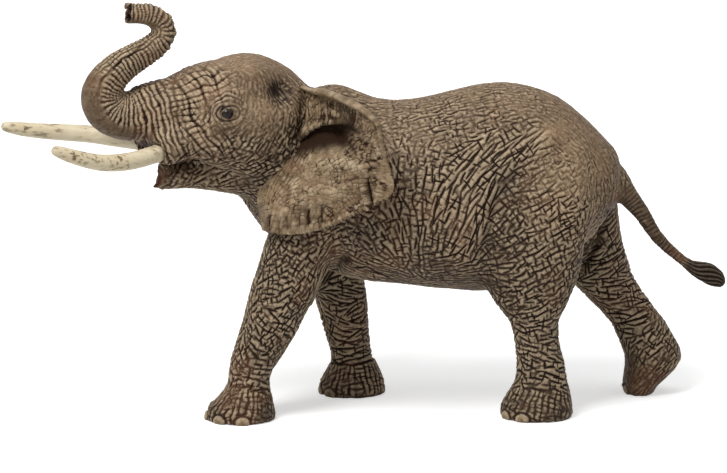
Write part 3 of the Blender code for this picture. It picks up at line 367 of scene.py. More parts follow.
limbPaths = {
    "leftForeleg": [(-13.9, -8.3, 60.0, 9.5), (-17.9, -9.1, 53.0, 9.6), (-21.1, -9.7, 43.2, 9.4),
                    (-23.7, -9.9, 37.4, 8.8), (-27.0, -9.9, 28.0, 8.0), (-31.3, -9.9, 18.4, 7.0),
                    (-33.5, -10.6, 12.0, 6.2), (-34.4, -11.0, 7.5, 7.0), (-36.2, -11.3, 0.0, 9.6)],
    "rightForeleg": [(-9.4, 21.9, 52.0, 9.2), (-9.1, 22.4, 43.0, 8.6), (-8.7, 22.7, 35.0, 7.9),
                     (-7.1, 22.7, 26.0, 7.4), (-5.7, 22.7, 17.0, 6.5), (-4.6, 22.7, 12.5, 6.0),
                     (-4.1, 22.1, 5.3, 8.4), (-4.2, 22.1, 0.0, 9.6)],
    "leftHindleg": [(47.0, -6.5, 66.0, 14.0), (45.8, -8.1, 51.5, 13.0), (46.8, -8.3, 39.9, 11.0),
                    (47.7, -8.3, 28.8, 7.0), (49.0, -8.3, 20.0, 6.2), (50.0, -8.3, 9.7, 7.2),
                    (48.8, -8.3, 2.4, 9.8), (48.8, -8.3, 0.0, 9.8)],
    "rightHindleg": [(57.1, 21.1, 56.0, 13.0), (61.1, 22.1, 47.5, 11.0), (66.6, 22.7, 38.9, 9.3),
                     (73.0, 22.7, 29.0, 7.9), (79.5, 22.7, 21.2, 7.3), (83.9, 22.7, 12.5, 8.1),
                     (82.1, 22.7, 5.3, 7.4), (80.0, 22.7, 0.0, 6.0)],
    "trunk": [(-45.0, -5.6, 88.3, 10.3), (-50.1, -7.5, 88.3, 10.3), (-57.2, -10.2, 88.5, 9.6),
              (-62.1, -12.1, 88.0, 9.0), (-67.8, -14.3, 87.5, 7.9), (-72.5, -16.1, 89.1, 7.3),
              (-74.7, -17.0, 92.3, 6.8), (-74.9, -17.0, 95.6, 6.5), (-72.9, -16.3, 99.4, 6.0),
              (-69.1, -14.8, 102.9, 5.4), (-64.6, -13.1, 105.4, 4.8), (-60.3, -11.4, 107.9, 4.4),
              (-57.5, -10.4, 110.8, 4.1), (-57.7, -10.4, 114.0, 3.8), (-60.7, -11.6, 116.1, 3.5),
              (-64.1, -12.9, 116.8, 3.3), (-67.5, -14.2, 117.2, 3.3)],
    "tail": [(71.1, 6.76, 66.4, 4.6), (75.1, 6.76, 61.6, 3.2), (79.6, 6.76, 56.1, 2.4), (83.4, 6.76, 50.0, 1.9),
             (87.8, 6.76, 45.5, 1.7), (91.7, 6.76, 42.3, 1.6), (94.9, 6.76, 40.2, 2.3), (98.1, 6.76, 39.1, 3.1),
             (101.3, 6.76, 37.1, 2.8), (103.2, 6.76, 35.2, 1.1)],
}


def finePath(rows, steps=6):
    points = np.array(rows, float)
    padded = np.vstack([2 * points[0] - points[1], points, 2 * points[-1] - points[-2]])
    result = []
    for index in range(1, len(padded) - 2):
        before, start, end, after = padded[index - 1:index + 3]
        for t in np.arange(steps) / steps:
            result.append(0.5 * (2 * start + (end - before) * t + (2 * before - 5 * start + 4 * end - after) * t ** 2
                                 + (3 * start - before - 3 * end + after) * t ** 3))
    return np.array(result + [points[-1]])


def alongLimb(points, rows, right):
    # distance down a limb, bearing round it, and distance from its line in radii
    path = finePath(rows)
    centre, radius = path[:, :3], path[:, 3]
    way = unit(np.gradient(centre, axis=0))
    lengths = np.concatenate([[0], np.cumsum(np.linalg.norm(np.diff(centre, axis=0), axis=1))])
    nearest = np.zeros(len(points), int)
    best = np.full(len(points), 1e9)
    for index, place in enumerate(centre):
        gap = ((points - place) ** 2).sum(1)
        closer = gap < best
        nearest[closer] = index
        best[closer] = gap[closer]
    off = points - centre[nearest]
    forth = (off * way[nearest]).sum(1)
    along = lengths[nearest] + forth
    off = off - forth[:, None] * way[nearest]
    side = unit(np.array(right, float) - way * (way @ np.array(right, float))[:, None])
    top = np.cross(side, way)
    bearing = np.arctan2((off * side[nearest]).sum(1), (off * top[nearest]).sum(1))
    return along, bearing, np.linalg.norm(off, axis=1) / radius[nearest], lengths[-1]


folds = {
    "crackSize": 2.6,             # of the small plates between the creases
    "crackDepth": 0.17,
    "creaseWidth": 0.25,          # half width of a crease
    "creaseJitter": 10.0,         # how far a crease turns from the flow, in degrees
    "tries": 90000,               # points that a crease may start from
    "ringDepth": 0.36,            # round the trunk
    "bulge": 0.26,                # between the rings
    "footDepth": 0.45,
    "eyeRingDepth": 0.28,
    "pocketDepth": 6.0,           # hollow of the neck behind each ear
    "pocket": (328, 134, 26, 15),  # its place in the photograph, reach across and down in pixels
    "farPocketShift": -36,        # of the right one
    "cell": 3.4,                  # of the grid that finds creases near a point
}

# How the creases run, at places in the photograph: rise to the right in degrees, length and spacing in
# millimetres, share of creases across, depth in millimetres
flow = [
    (400, 105, 8, 2.4, 1.5, 0.6, 0.20), (430, 97, 10, 2.4, 1.5, 0.6, 0.20), (470, 90, 12, 2.4, 1.5, 0.6, 0.20),
    (510, 85, 3, 2.4, 1.5, 0.6, 0.20), (545, 95, -15, 2.4, 1.5, 0.6, 0.17), (570, 115, -35, 2.2, 1.5, 0.6, 0.14),
    (590, 140, -60, 2.2, 1.5, 0.6, 0.15), (605, 170, -72, 2.4, 1.5, 0.6, 0.17), (600, 200, -80, 2.4, 1.6, 0.6, 0.2),
    (400, 125, 35, 2.6, 1.7, 0.9, 0.26), (425, 128, 22, 2.8, 1.7, 0.9, 0.26), (450, 132, 12, 2.8, 1.6, 0.8, 0.26),
    (475, 122, 16, 2.6, 1.5, 0.7, 0.24), (500, 112, 25, 2.4, 1.5, 0.6, 0.22), (525, 106, 8, 2.2, 1.5, 0.6, 0.18),
    (552, 122, -25, 1.9, 1.5, 0.5, 0.16), (575, 148, -52, 1.9, 1.5, 0.6, 0.17), (590, 180, 62, 2.2, 1.6, 0.7, 0.20),
    (532, 138, 40, 5.0, 1.7, 0.30, 0.38), (512, 148, 42, 6.0, 1.7, 0.30, 0.42), (490, 158, 46, 6.0, 1.7, 0.35, 0.42),
    (470, 162, 48, 5.0, 1.8, 0.45, 0.36), (502, 178, 52, 7.0, 1.7, 0.25, 0.46), (486, 200, 60, 7.0, 1.7, 0.25, 0.46),
    (476, 226, 68, 7.0, 1.7, 0.25, 0.44), (468, 250, 64, 6.0, 1.7, 0.35, 0.38), (452, 190, 62, 5.0, 1.9, 0.7, 0.38),
    (442, 214, 66, 4.5, 2.0, 0.8, 0.38), (434, 160, 74, 3.4, 2.2, 1.0, 0.32), (414, 160, 84, 3.2, 2.2, 1.0, 0.30),
    (403, 188, 88, 3.4, 2.2, 1.0, 0.30), (422, 190, 84, 3.8, 2.2, 1.0, 0.32), (416, 220, 89, 5.0, 2.1, 0.9, 0.34),
    (428, 248, 84, 4.6, 2.0, 0.8, 0.30), (410, 264, 88, 5.0, 2.0, 0.7, 0.30), (395, 214, -70, 4.0, 1.5, 0.4, 0.36),
    (388, 236, -62, 4.0, 1.5, 0.4, 0.36), (400, 246, -76, 4.2, 1.6, 0.5, 0.34), (374, 236, -58, 3.6, 1.5, 0.4, 0.34),
    (388, 175, -76, 3.0, 1.5, 0.5, 0.24), (440, 266, 14, 4.0, 1.5, 0.5, 0.26), (470, 274, 12, 4.0, 1.5, 0.4, 0.22),
    (500, 274, 10, 3.4, 1.5, 0.4, 0.20), (370, 270, -14, 5.0, 1.6, 0.3, 0.34), (400, 276, -10, 5.0, 1.6, 0.3, 0.30),
    (345, 262, -18, 4.0, 1.5, 0.4, 0.28), (148, 143, -28, 3.2, 1.3, 0.3, 0.44), (128, 134, -30, 3.2, 1.3, 0.3, 0.44),
    (162, 150, -50, 3.0, 1.4, 0.4, 0.34), (246, 205, 20, 3.2, 1.1, 0.3, 0.40), (520, 184, 22, 2.6, 1.6, 1.0, 0.22),
    (540, 174, 26, 2.6, 1.6, 0.9, 0.22), (560, 180, 30, 2.6, 1.6, 0.9, 0.24), (580, 174, 36, 2.4, 1.6, 0.8, 0.22),
    (530, 208, 22, 3.4, 1.8, 1.0, 0.30), (555, 204, 24, 4.4, 1.9, 1.0, 0.40), (575, 210, 26, 3.8, 1.9, 1.0, 0.40),
    (538, 234, 24, 3.8, 1.9, 1.0, 0.34), (560, 232, 22, 4.8, 2.0, 1.0, 0.46), (580, 234, 26, 3.6, 1.9, 1.0, 0.38),
    (552, 256, 22, 4.0, 1.9, 1.0, 0.38), (530, 262, 25, 3.6, 1.8, 0.9, 0.34), (514, 240, 32, 3.2, 1.6, 0.8, 0.28),
    (504, 222, 46, 3.4, 1.5, 0.6, 0.30), (562, 272, 20, 3.6, 1.8, 0.8, 0.34), (592, 250, 55, 3.0, 1.6, 0.6, 0.26),
    (535, 286, 25, 4.0, 1.8, 0.7, 0.36), (560, 290, 22, 3.6, 1.8, 0.7, 0.34), (534, 310, 24, 4.0, 1.7, 0.5, 0.38),
    (520, 336, 10, 4.0, 1.6, 0.4, 0.38), (548, 330, 4, 4.0, 1.6, 0.4, 0.38), (545, 352, -14, 4.2, 1.6, 0.35, 0.40),
    (535, 370, -10, 4.0, 1.6, 0.35, 0.40), (528, 386, -24, 3.4, 1.6, 0.4, 0.36), (620, 240, 35, 3.8, 1.3, 0.4, 0.36),
    (600, 272, 16, 5.2, 1.3, 0.25, 0.48), (625, 272, 28, 5.2, 1.3, 0.25, 0.50), (610, 296, 4, 5.4, 1.4, 0.25, 0.54),
    (640, 300, 12, 5.4, 1.4, 0.25, 0.54), (625, 318, 2, 5.4, 1.4, 0.2, 0.54), (645, 322, 12, 5.4, 1.4, 0.2, 0.54),
    (640, 340, 8, 5.2, 1.4, 0.2, 0.52), (660, 338, 60, 3.0, 1.3, 0.3, 0.26), (655, 356, 42, 3.0, 1.3, 0.4, 0.28),
    (640, 370, 55, 2.8, 1.3, 0.5, 0.28), (290, 245, 62, 2.6, 1.8, 1.0, 0.32), (268, 260, 8, 2.8, 1.9, 1.0, 0.34),
    (300, 262, 55, 3.2, 1.7, 0.7, 0.34), (322, 250, 48, 3.6, 1.6, 0.5, 0.36), (312, 276, 58, 4.2, 1.6, 0.4, 0.40),
    (274, 285, 4, 3.2, 1.9, 1.0, 0.36), (258, 302, 6, 3.0, 1.8, 0.9, 0.34), (290, 302, 45, 3.2, 1.7, 0.8, 0.36),
    (280, 322, -42, 3.4, 1.8, 0.8, 0.36), (255, 328, -50, 3.4, 1.8, 0.8, 0.36), (272, 345, 34, 3.0, 1.8, 0.8, 0.32),
    (250, 350, -44, 4.0, 1.9, 0.6, 0.38), (240, 366, -36, 3.6, 1.9, 0.6, 0.36), (262, 370, -14, 3.0, 1.7, 0.6, 0.32),
    (236, 382, 8, 3.0, 1.5, 0.5, 0.34), (340, 288, 22, 4.6, 1.35, 0.25, 0.56), (352, 298, -14, 4.6, 1.35, 0.25, 0.56),
    (338, 312, -16, 4.6, 1.35, 0.2, 0.56), (352, 322, 24, 4.6, 1.35, 0.2, 0.56),
    (344, 338, -18, 4.6, 1.35, 0.2, 0.56), (352, 354, 12, 4.4, 1.35, 0.2, 0.50), (340, 240, 28, 2.4, 1.6, 0.9, 0.26),
    (320, 234, 8, 2.4, 1.6, 0.8, 0.26), (356, 226, -20, 2.6, 1.6, 0.8, 0.26), (362, 250, -34, 3.0, 1.5, 0.5, 0.30),
    (340, 110, -30, 2.2, 1.5, 0.6, 0.18), (372, 116, -50, 2.4, 1.5, 0.5, 0.20), (392, 150, -66, 2.6, 1.5, 0.7, 0.24),
    (340, 170, 80, 2.6, 1.6, 0.7, 0.22), (300, 200, 60, 2.4, 1.5, 0.5, 0.24), (214, 72, -60, 1.8, 1.3, 0.3, 0.15),
    (235, 62, -55, 1.8, 1.3, 0.3, 0.14), (257, 60, -45, 1.7, 1.3, 0.3, 0.12), (277, 70, -60, 1.8, 1.3, 0.3, 0.13),
    (292, 86, -72, 2.2, 1.2, 0.25, 0.18), (301, 102, -84, 2.6, 1.2, 0.2, 0.22), (303, 122, 74, 2.8, 1.2, 0.2, 0.26),
    (294, 138, 58, 2.8, 1.2, 0.3, 0.26), (278, 144, 48, 2.4, 1.3, 0.5, 0.24), (264, 82, -78, 1.8, 1.2, 0.3, 0.14),
    (252, 96, 82, 1.8, 1.1, 0.3, 0.14), (262, 114, 74, 1.8, 1.1, 0.3, 0.16), (276, 122, 78, 2.0, 1.1, 0.3, 0.18),
    (250, 130, 52, 1.8, 1.1, 0.4, 0.15), (266, 136, 42, 2.0, 1.2, 0.5, 0.18), (254, 146, 44, 2.2, 1.4, 0.8, 0.22),
    (238, 152, 40, 2.4, 1.7, 0.9, 0.28), (215, 156, 45, 2.4, 1.7, 1.0, 0.30), (196, 166, 42, 2.4, 1.7, 1.0, 0.32),
    (228, 170, 34, 3.2, 1.7, 0.8, 0.34), (250, 166, 38, 3.8, 1.7, 0.6, 0.34), (208, 180, 28, 2.6, 1.6, 0.8, 0.30),
    (182, 176, 60, 2.2, 1.5, 0.7, 0.26), (262, 182, 32, 3.2, 1.5, 0.5, 0.30), (266, 206, 26, 3.0, 1.4, 0.4, 0.32),
    (235, 186, 12, 3.0, 1.5, 0.5, 0.28),
]

# Long folds of the flank and belly, and dark slashes: depth in millimetres and places in the photograph
flankStrokes = [
    (0.48, [(533, 140), (520, 150), (506, 160), (494, 174), (484, 192), (476, 212), (471, 234), (467, 252)]),
    (0.45, [(518, 138), (506, 148), (494, 161), (482, 176), (472, 194), (465, 214), (460, 234)]),
    (0.40, [(508, 136), (496, 146), (486, 158), (476, 170), (464, 188), (456, 206)]),
    (0.40, [(497, 128), (486, 142), (472, 156), (460, 172), (451, 190), (445, 210), (441, 230)]),
    (0.50, [(500, 170), (492, 186), (486, 204), (481, 224), (478, 242), (472, 258)]),
    (0.45, [(437, 192), (437, 206), (434, 216), (428, 228)]),
    (0.40, [(424, 190), (422, 210), (420, 230), (419, 250), (418, 272)]),
    (0.30, [(411, 200), (410, 225), (410, 250), (409, 274)]),
    (0.30, [(440, 158), (454, 156), (466, 158), (476, 162)]),
    (0.50, [(336, 262), (350, 268), (366, 270), (382, 276), (396, 282)]),
    (0.60, [(550, 236), (562, 232), (576, 226)]),
    (0.50, [(524, 258), (534, 254), (542, 250)]),
    (0.45, [(556, 222), (566, 219), (576, 215)]),
    (0.40, [(520, 210), (532, 206), (546, 202), (556, 200)]),
    (0.34, [(172, 164), (180, 157), (190, 152)]), (0.22, [(206, 147), (222, 147), (240, 151), (256, 153)]),
    (0.42, [(312, 90), (311, 102), (307, 116)]), (0.34, [(303, 128), (296, 139), (288, 148)]),
]
# Valleys where one form passes behind another, painted darker as shade too: depth, width in pixels, places in the
# photograph
valleys = [
    (1.7, 4.0, [(611, 204), (608, 228), (601, 252), (591, 272), (579, 289)]),
    (1.1, 5.5, [(526, 164), (511, 180), (500, 198), (493, 218), (488, 238), (485, 256)]),
    (1.3, 3.6, [(347, 254), (339, 266), (330, 280), (318, 297)]),
    (0.7, 3.0, [(498, 284), (507, 300), (511, 318)]),
    (0.8, 5.0, [(318, 84), (332, 90), (350, 96), (366, 106), (380, 120)]),
]
# Broad swells (+) and hollows (-): place in the photograph, reach across and down in pixels, millimetres
swells = [
    (549, 137, 9, 7, 0.9), (560, 152, 10, 10, -0.9), (502, 205, 12, 24, -1.2), (492, 248, 14, 14, -1.1),
    (520, 160, 16, 10, 0.4), (545, 215, 30, 26, 0.5), (392, 190, 8, 30, -0.5), (420, 140, 20, 14, 0.3),
    (330, 268, 22, 8, -0.9), (385, 272, 26, 6, -0.4), (282, 92, 9, 10, -1.5), (262, 112, 15, 13, 0.6),
    (230, 92, 16, 7, 0.5), (238, 138, 22, 9, -0.5), (252, 70, 16, 7, 0.4), (290, 120, 8, 14, 0.4),
    (304, 112, 5, 22, -0.8), (176, 168, 6, 12, 0.2), (205, 172, 22, 9, 0.4),
]
# Painted shade (-) and painted light (+): place in the photograph, reach across and down in pixels, share
paintedShadeAndLight = [
    (246, 206, 15, 18, -0.55), (348, 268, 18, 10, -0.55), (330, 290, 18, 12, -0.35), (590, 270, 12, 24, -0.40),
    (505, 288, 14, 14, -0.25), (430, 280, 70, 7, -0.30), (366, 232, 26, 10, -0.25), (312, 98, 4, 16, -0.35),
    (278, 92, 9, 10, -0.70), (226, 112, 8, 7, -0.55), (268, 400, 60, 14, -0.06), (604, 215, 7, 30, -0.25),
    (146, 144, 10, 7, -0.60), (170, 170, 8, 10, -0.20), (500, 250, 14, 20, -0.20), (640, 250, 20, 20, -0.15),
    (345, 350, 30, 40, -0.10), (200, 165, 30, 10, -0.15), (512, 222, 12, 34, -0.30), (520, 178, 20, 8, -0.22),
    (290, 262, 40, 16, -0.12), (460, 262, 50, 10, -0.15), (620, 300, 30, 40, -0.12), (215, 150, 24, 8, -0.14),
    (549, 140, 16, 16, 0.34), (574, 182, 32, 50, 0.60), (415, 140, 34, 22, 0.12), (262, 114, 16, 14, 0.22),
    (262, 176, 8, 9, -0.35), (276, 161, 9, 7, -0.40), (290, 149, 9, 6, -0.40), (588, 262, 7, 22, -0.30),
    (496, 232, 10, 26, -0.20), (235, 62, 34, 11, 0.30), (190, 92, 26, 14, 0.10), (440, 95, 100, 10, 0.12),
    (475, 175, 24, 40, 0.08),
]
# Dark wash and painted shade in the hollows: place in the photograph, reach across and down in pixels, share
washAndShade = [
    (277, 90, 8, 10, 0.60), (491, 240, 8, 13, 0.46), (504, 208, 7, 26, 0.36), (346, 263, 13, 7, 0.52),
    (330, 282, 8, 12, 0.40), (588, 262, 5, 20, 0.40), (532, 158, 10, 5, 0.30), (508, 290, 12, 8, 0.34),
    (262, 178, 5, 8, 0.40), (276, 163, 6, 5, 0.45), (290, 151, 7, 5, 0.48), (300, 141, 5, 5, 0.48),
    (246, 206, 12, 12, 0.40),
]
# Rusty patches of the flank: place in the photograph, reach across and down in pixels, share
rustSpots = [(572, 214, 24, 26, 0.6), (394, 205, 9, 26, 1.0)]
# Shadow at the root of the trunk, the same way
rootShadow = (145, 147, 11, 6, 0.7)
# Painted highlight along the rear edge of the near thigh, as places in the photograph
thighHighlight = [(613, 206), (609, 228), (603, 248), (594, 268), (583, 288)]
# Feet: middle of the sole, bearings of the nails in degrees, and how strong the grooves are
feet = {
    "leftForeleg": {"centre": (-35.95, -11.27), "nails": (94, 50, 4, -30, -64), "strength": 0.6},
    "rightForeleg": {"centre": (-4.27, 22.13), "nails": (46, 12, -22, -56, -88), "strength": 1.0},
    "leftHindleg": {"centre": (48.81, -8.34), "nails": (61, 24, -12, -46), "strength": 0.45},
    "rightHindleg": {"centre": (80.79, 22.66), "nails": (30, -8, -44), "strength": 0.0},
}
toes = {
    "halfWidth": 2.1,
    "halfHeight": 1.6,
    "height": 0.9,
    "lift": 0.30,
    "edgeDepth": 0.24,
    "grooves": 30,                # round a foot
    "cuff": 9.8,                  # its height over the sole
}
face = {
    "eye": (-39.33, -19.91, 89.97),
    # rings round the eye: radius, strength, how unbroken they are
    "eyeRings": ((2.45, 1.1, 0.9), (3.3, 0.5, 0.4), (4.3, 1.1, 0.25), (5.4, 0.8, 0.1)),
    "lid": 0.30,
    "opening": 1.5,
}
mouth = {
    "edge": [(157, 163), (153, 175), (154, 187), (163, 190), (168.5, 177), (172, 165)],
    "depth": 1.5,
    "rim": 0.28,
}
# Small moves in the plane of the photograph: place, reach in pixels, millimetres to the rear and up
pushes = [
    (157, 187, 8, -1.5, -0.2), (126, 21, 6, -0.9, -0.4), (125, 6.5, 5.5, 1.3, 1.1), (150, 3, 12, 0, 0.5),
    (315, 293, 10, -0.8, -3.0),
]
nostrils = {"places": [(127.6, 11.5), (128.4, 18.0)], "reach": (3.6, 3.9), "depth": 2.0}


def lineFamily(points, level, spacing, width, seed, breakSize=5.0, lasting=0.15):
    # broken, wandering lines along the levels of a field
    wide, fine = cloud(points, spacing * 3.2, seed), cloud(points, spacing * 1.2, seed + 1)
    moved = level + wide * spacing * 0.55 + fine * spacing * 0.2
    phase = moved / spacing
    broken = smoothStep(-0.35, 0.15, cloud(points + np.round(phase)[:, None] * 7.3, breakSize, seed + 2) + lasting)
    return ridge(phase, spacing, width) * broken


def flowAt(spots, table):
    # angle, length, spacing, share across and depth of creases, from the nearest rows of the table
    table = np.array(table, float)
    angle = np.radians(table[:, 2]) * 2
    sums = np.zeros((len(spots), 6))
    total = np.zeros(len(spots))
    for row, turned in zip(table, angle):
        weight = 1 / (((spots - row[:2]) ** 2).sum(1) + 40) ** 2
        total += weight
        sums += weight[:, None] * np.array([math.cos(turned), math.sin(turned), *row[3:7]])
    sums /= total[:, None]
    return np.arctan2(sums[:, 1], sums[:, 0]) / 2, sums[:, 2], sums[:, 3], sums[:, 4], sums[:, 5]


def spread(places, ways, sides, lengths, spacings, order):
    # picks points in a given order that are not too near to one picked before, as creases are long and thin
    size = 3.0
    spots, forth, beside = places.tolist(), ways.tolist(), sides.tolist()
    reach, gap = (lengths * 0.52).tolist(), (spacings * 0.78).tolist()
    keys = np.floor(places / size).astype(int).tolist()
    taken = {}

    def isFree(index):
        x, y, z = spots[index]
        u, v, w = forth[index]
        p, q, r = beside[index]
        cx, cy, cz = keys[index]
        for a, b, c in neighbours:
            for ox, oy, oz in taken.get((cx + a, cy + b, cz + c), ()):
                dx, dy, dz = ox - x, oy - y, oz - z
                along = (dx * u + dy * v + dz * w) / reach[index]
                over = (dx * p + dy * q + dz * r) / gap[index]
                if along * along + over * over < 1 and dx * dx + dy * dy + dz * dz < size * size:
                    return False
        return True

    picked = []
    for index in order:
        if isFree(index):
            taken.setdefault(tuple(keys[index]), []).append(spots[index])
            picked.append(index)
    return np.array(picked, int)


def stampCreases(places, centres, ways, sides, halves, depths, width, bends):
    # depth of the deepest crease over each point, and of the thin line painted in it
    size = folds["cell"]
    seedCells = np.floor(centres / size).astype(np.int64)
    pointCells = np.floor(places / size).astype(np.int64)
    origin = np.minimum(seedCells.min(0), pointCells.min(0)) - 2
    span = np.maximum(seedCells.max(0), pointCells.max(0)) - origin + 3

    def key(cell):
        rel = cell - origin
        return (rel[..., 0] * span[1] + rel[..., 1]) * span[2] + rel[..., 2]

    seedKeys = key(seedCells)
    order = np.argsort(seedKeys, kind="stable")
    sortedKeys = seedKeys[order]
    homes, home = np.unique(pointCells, axis=0, return_inverse=True)
    home = home.ravel()
    byHome = np.argsort(home, kind="stable")
    starts = np.searchsorted(home[byHome], np.arange(len(homes) + 1))
    result = np.zeros((2, len(places)))
    for index, cell in enumerate(homes):
        near = []
        for step in key(cell + np.array(neighbours)):
            low, high = np.searchsorted(sortedKeys, [step, step + 1])
            if high > low:
                near.append(order[low:high])
        if not near:
            continue
        near = np.concatenate(near)
        points = byHome[starts[index]:starts[index + 1]]
        off = places[points][:, None, :] - centres[near][None]
        along = (off * ways[near]).sum(2) / halves[near]
        over = (off * sides[near]).sum(2) + bends[near] * along * along
        rest = (off ** 2).sum(2) - (along * halves[near]) ** 2 - over ** 2
        over = (over / width) ** 2
        strength = depths[near] * np.clip(1.15 * (1 - along * along), 0, 1)
        strength[(np.abs(along) > 1) | (rest > 2.2)] = 0
        thin = np.exp(-over)
        result[0, points] = (strength * (0.65 * thin + 0.35 * np.exp(-over / 6))).max(1)
        result[1, points] = (strength * thin * thin).max(1)
    return result


def makeCreases(places, normals, flowed, seed, width):
    # creases along the flow of the hide, and shorter ones across
    chance = np.random.RandomState(seed)
    order = chance.permutation(len(places))
    angle, length, spacing, across, depth = flowed
    result = np.zeros((2, len(places)))
    for cross in (False, True):
        chosen = order if not cross else order[chance.rand(len(order)) < 0.85]
        turned = angle[chosen] + np.radians(chance.normal(0, folds["creaseJitter"], len(chosen)))
        if cross:
            turned = turned + math.pi / 2
        way = np.stack([np.cos(turned), np.zeros(len(chosen)), np.sin(turned)], axis=1)
        normal = normals[chosen]
        flat = way - normal * (way * normal).sum(1, keepdims=True)
        missing = 1 - np.linalg.norm(flat, axis=1, keepdims=True)
        level = np.array([0, 1.0, 0]) - normal * normal[:, 1:2]
        flat = unit(flat + level * np.clip(missing, 0, 1) * 1.2)
        side = np.cross(normal, flat)
        long = length[chosen] * (0.75 if cross else 1.25) * chance.uniform(0.6, 1.35, len(chosen))
        gap = spacing[chosen] * (1.1 if cross else 1.0)
        picked = spread(places[chosen], flat, side, long, gap, range(min(len(chosen), folds["tries"])))
        if cross:
            picked = picked[chance.rand(len(picked)) < across[chosen][picked]]
        index = chosen[picked]
        deep = depth[index] * (0.45 + 1.35 * chance.rand(len(picked)) ** 1.2) * (0.85 if cross else 1.0)
        stamped = stampCreases(places, places[index], flat[picked], side[picked], long[picked] / 2 + 0.25, deep,
                               width, chance.normal(0, 0.22, len(picked)))
        result = np.maximum(result, stamped)
    return result


def insideShape(spots, edge):
    # how far each spot is inside a shape drawn in the photograph, in pixels, below zero outside
    edge = np.array(edge, float)
    inside = np.zeros(len(spots), bool)
    gap = np.full(len(spots), 1e9)
    for start, end in zip(edge, np.roll(edge, -1, axis=0)):
        way = end - start
        t = np.clip(((spots - start) @ way) / (way @ way), 0, 1)
        gap = np.minimum(gap, np.linalg.norm(spots - start - t[:, None] * way, axis=1))
        crosses = (start[1] > spots[:, 1]) != (end[1] > spots[:, 1])
        reach = start[0] + (spots[:, 1] - start[1]) * way[0] / (way[1] if way[1] else 1e-9)
        inside ^= crosses & (spots[:, 0] < reach)
    return np.where(inside, gap, -gap)


def feetFolds(places):
    # a cuff, grooves down the sides, and nails; also how much of each point is foot and leg
    z = places[:, 2]
    footLine, nailEdge, nail, footShare, legShare = np.zeros((5, len(places)))
    for seed, (name, foot) in enumerate(feet.items()):
        along, bearing, radii, length = alongLimb(places, limbPaths[name], (0, 1, 0))
        near = smoothStep(1.75, 1.3, radii) * smoothStep(4, 14, along) * (z < 60)
        here = near * smoothStep(length - 10.0, length - 8.4, along)
        turns = bearing / (2 * math.pi)
        groove = ridge(turns * toes["grooves"] + cloud(places, 3, 31 + seed) * 0.45, 2.0, 0.36) * foot["strength"]
        groove *= smoothStep(-0.45, 0.15, cloud(places, 2.2, 35 + seed)) * smoothStep(0.3, 1.6, z)
        drop = along - (length - toes["cuff"]) + cloud(places, 4, 39 + seed) * 1.2
        cuff = np.exp(-(drop / 0.5) ** 2) * foot["strength"]
        cuff *= smoothStep(-0.3, 0.3, cloud(places, 3, 45 + seed)) * 0.8
        footLine = np.maximum(footLine, np.maximum(here * groove, near * cuff * 0.9))
        footShare = np.maximum(footShare, here)
        legShare = np.maximum(legShare, near)
        rel = places[:, :2] - np.array(foot["centre"])
        reach = np.maximum(np.linalg.norm(rel, axis=1), 0.1)
        around = np.arctan2(-rel[:, 1], -rel[:, 0])
        atToes = (here > 0.5) & (reach < 13)
        for angle in foot["nails"]:
            turn = (around - math.radians(angle) + math.pi) % (2 * math.pi) - math.pi
            oval = np.hypot(turn * reach / toes["halfWidth"], (z - toes["height"]) / toes["halfHeight"])
            nail = np.maximum(nail, smoothStep(1.02, 0.82, oval) * atToes)
            rim = np.exp(-((oval - 1.2) / 0.16) ** 2) * smoothStep(0.2, 1.2, z)
            nailEdge = np.maximum(nailEdge, rim * atToes)
    footLine *= 1 - smoothStep(0.1, 0.6, np.maximum(nail, nailEdge))
    return footLine, nailEdge, nail, footShare, legShare


def faceFolds(places, local, headShare):
    # rings across the root of the trunk, a grid on the brow, rings round the eye
    forward, side, height = local.T
    slope = forward - 0.5 * (height - 25)
    rings = np.maximum(lineFamily(places, slope, 4.6, 0.42, 121, 14.0, 0.5),
                       0.7 * lineFamily(places, slope, 1.75, 0.24, 127, 6.0, 0.3))
    grid = lineFamily(places, height + 0.3 * forward, 1.65, 0.25, 131, 4.0, 0.6)
    offMiddle = 0.3 + 0.7 * smoothStep(2, 6.5, np.abs(side))
    base = smoothStep(30, 36, forward) * smoothStep(12, 18, height) * headShare * offMiddle
    brow = smoothStep(27, 34, forward) * smoothStep(18, 25, height) * headShare * offMiddle
    ahead, _, over = (local - inHead(np.array([face["eye"]]))).T
    fromEye = np.hypot(ahead * 0.86, over + 0.15 * ahead)
    eyeBearing = (ahead * 0.6 + over * 0.8) / np.maximum(fromEye, 0.5)
    eyeSide = smoothStep(6, 10, np.abs(side))
    eyeRings = np.zeros(len(places))
    for reach, strength, lasting in face["eyeRings"]:
        drift = cloud(places, 3.0, 141) * 0.7 + cloud(places, 1.2, 142) * 0.2
        broken = smoothStep(-0.5, 0.1, cloud(places + reach * 5, 1.8, 143) + lasting - 0.3)
        broken *= lasting + (1 - lasting) * smoothStep(-0.5, 0.6, eyeBearing)
        eyeRings = np.maximum(eyeRings, strength * broken * np.exp(-((fromEye + drift - reach) / 0.22) ** 2))
    nearEye = smoothStep(7.6, 5.6, fromEye) * eyeSide * headShare
    bare = (1 - 0.6 * base) * (1 - 0.8 * smoothStep(4.4, 3.0, fromEye) * eyeSide)
    lines = (base * rings * 0.38 * (1 - 0.7 * nearEye) + brow * grid * 0.32 * (1 - nearEye)
             + eyeRings * eyeSide * headShare * folds["eyeRingDepth"])
    almond = np.hypot(ahead / 1.42, (over + 0.12 * ahead) / 1.12)
    lid = np.exp(-((almond - 1.34) / 0.20) ** 2)
    opening = smoothStep(1.08, 0.80, almond)
    eyeForm = (face["lid"] * lid - face["opening"] * opening) * eyeSide
    return lines, nearEye, bare, eyeForm


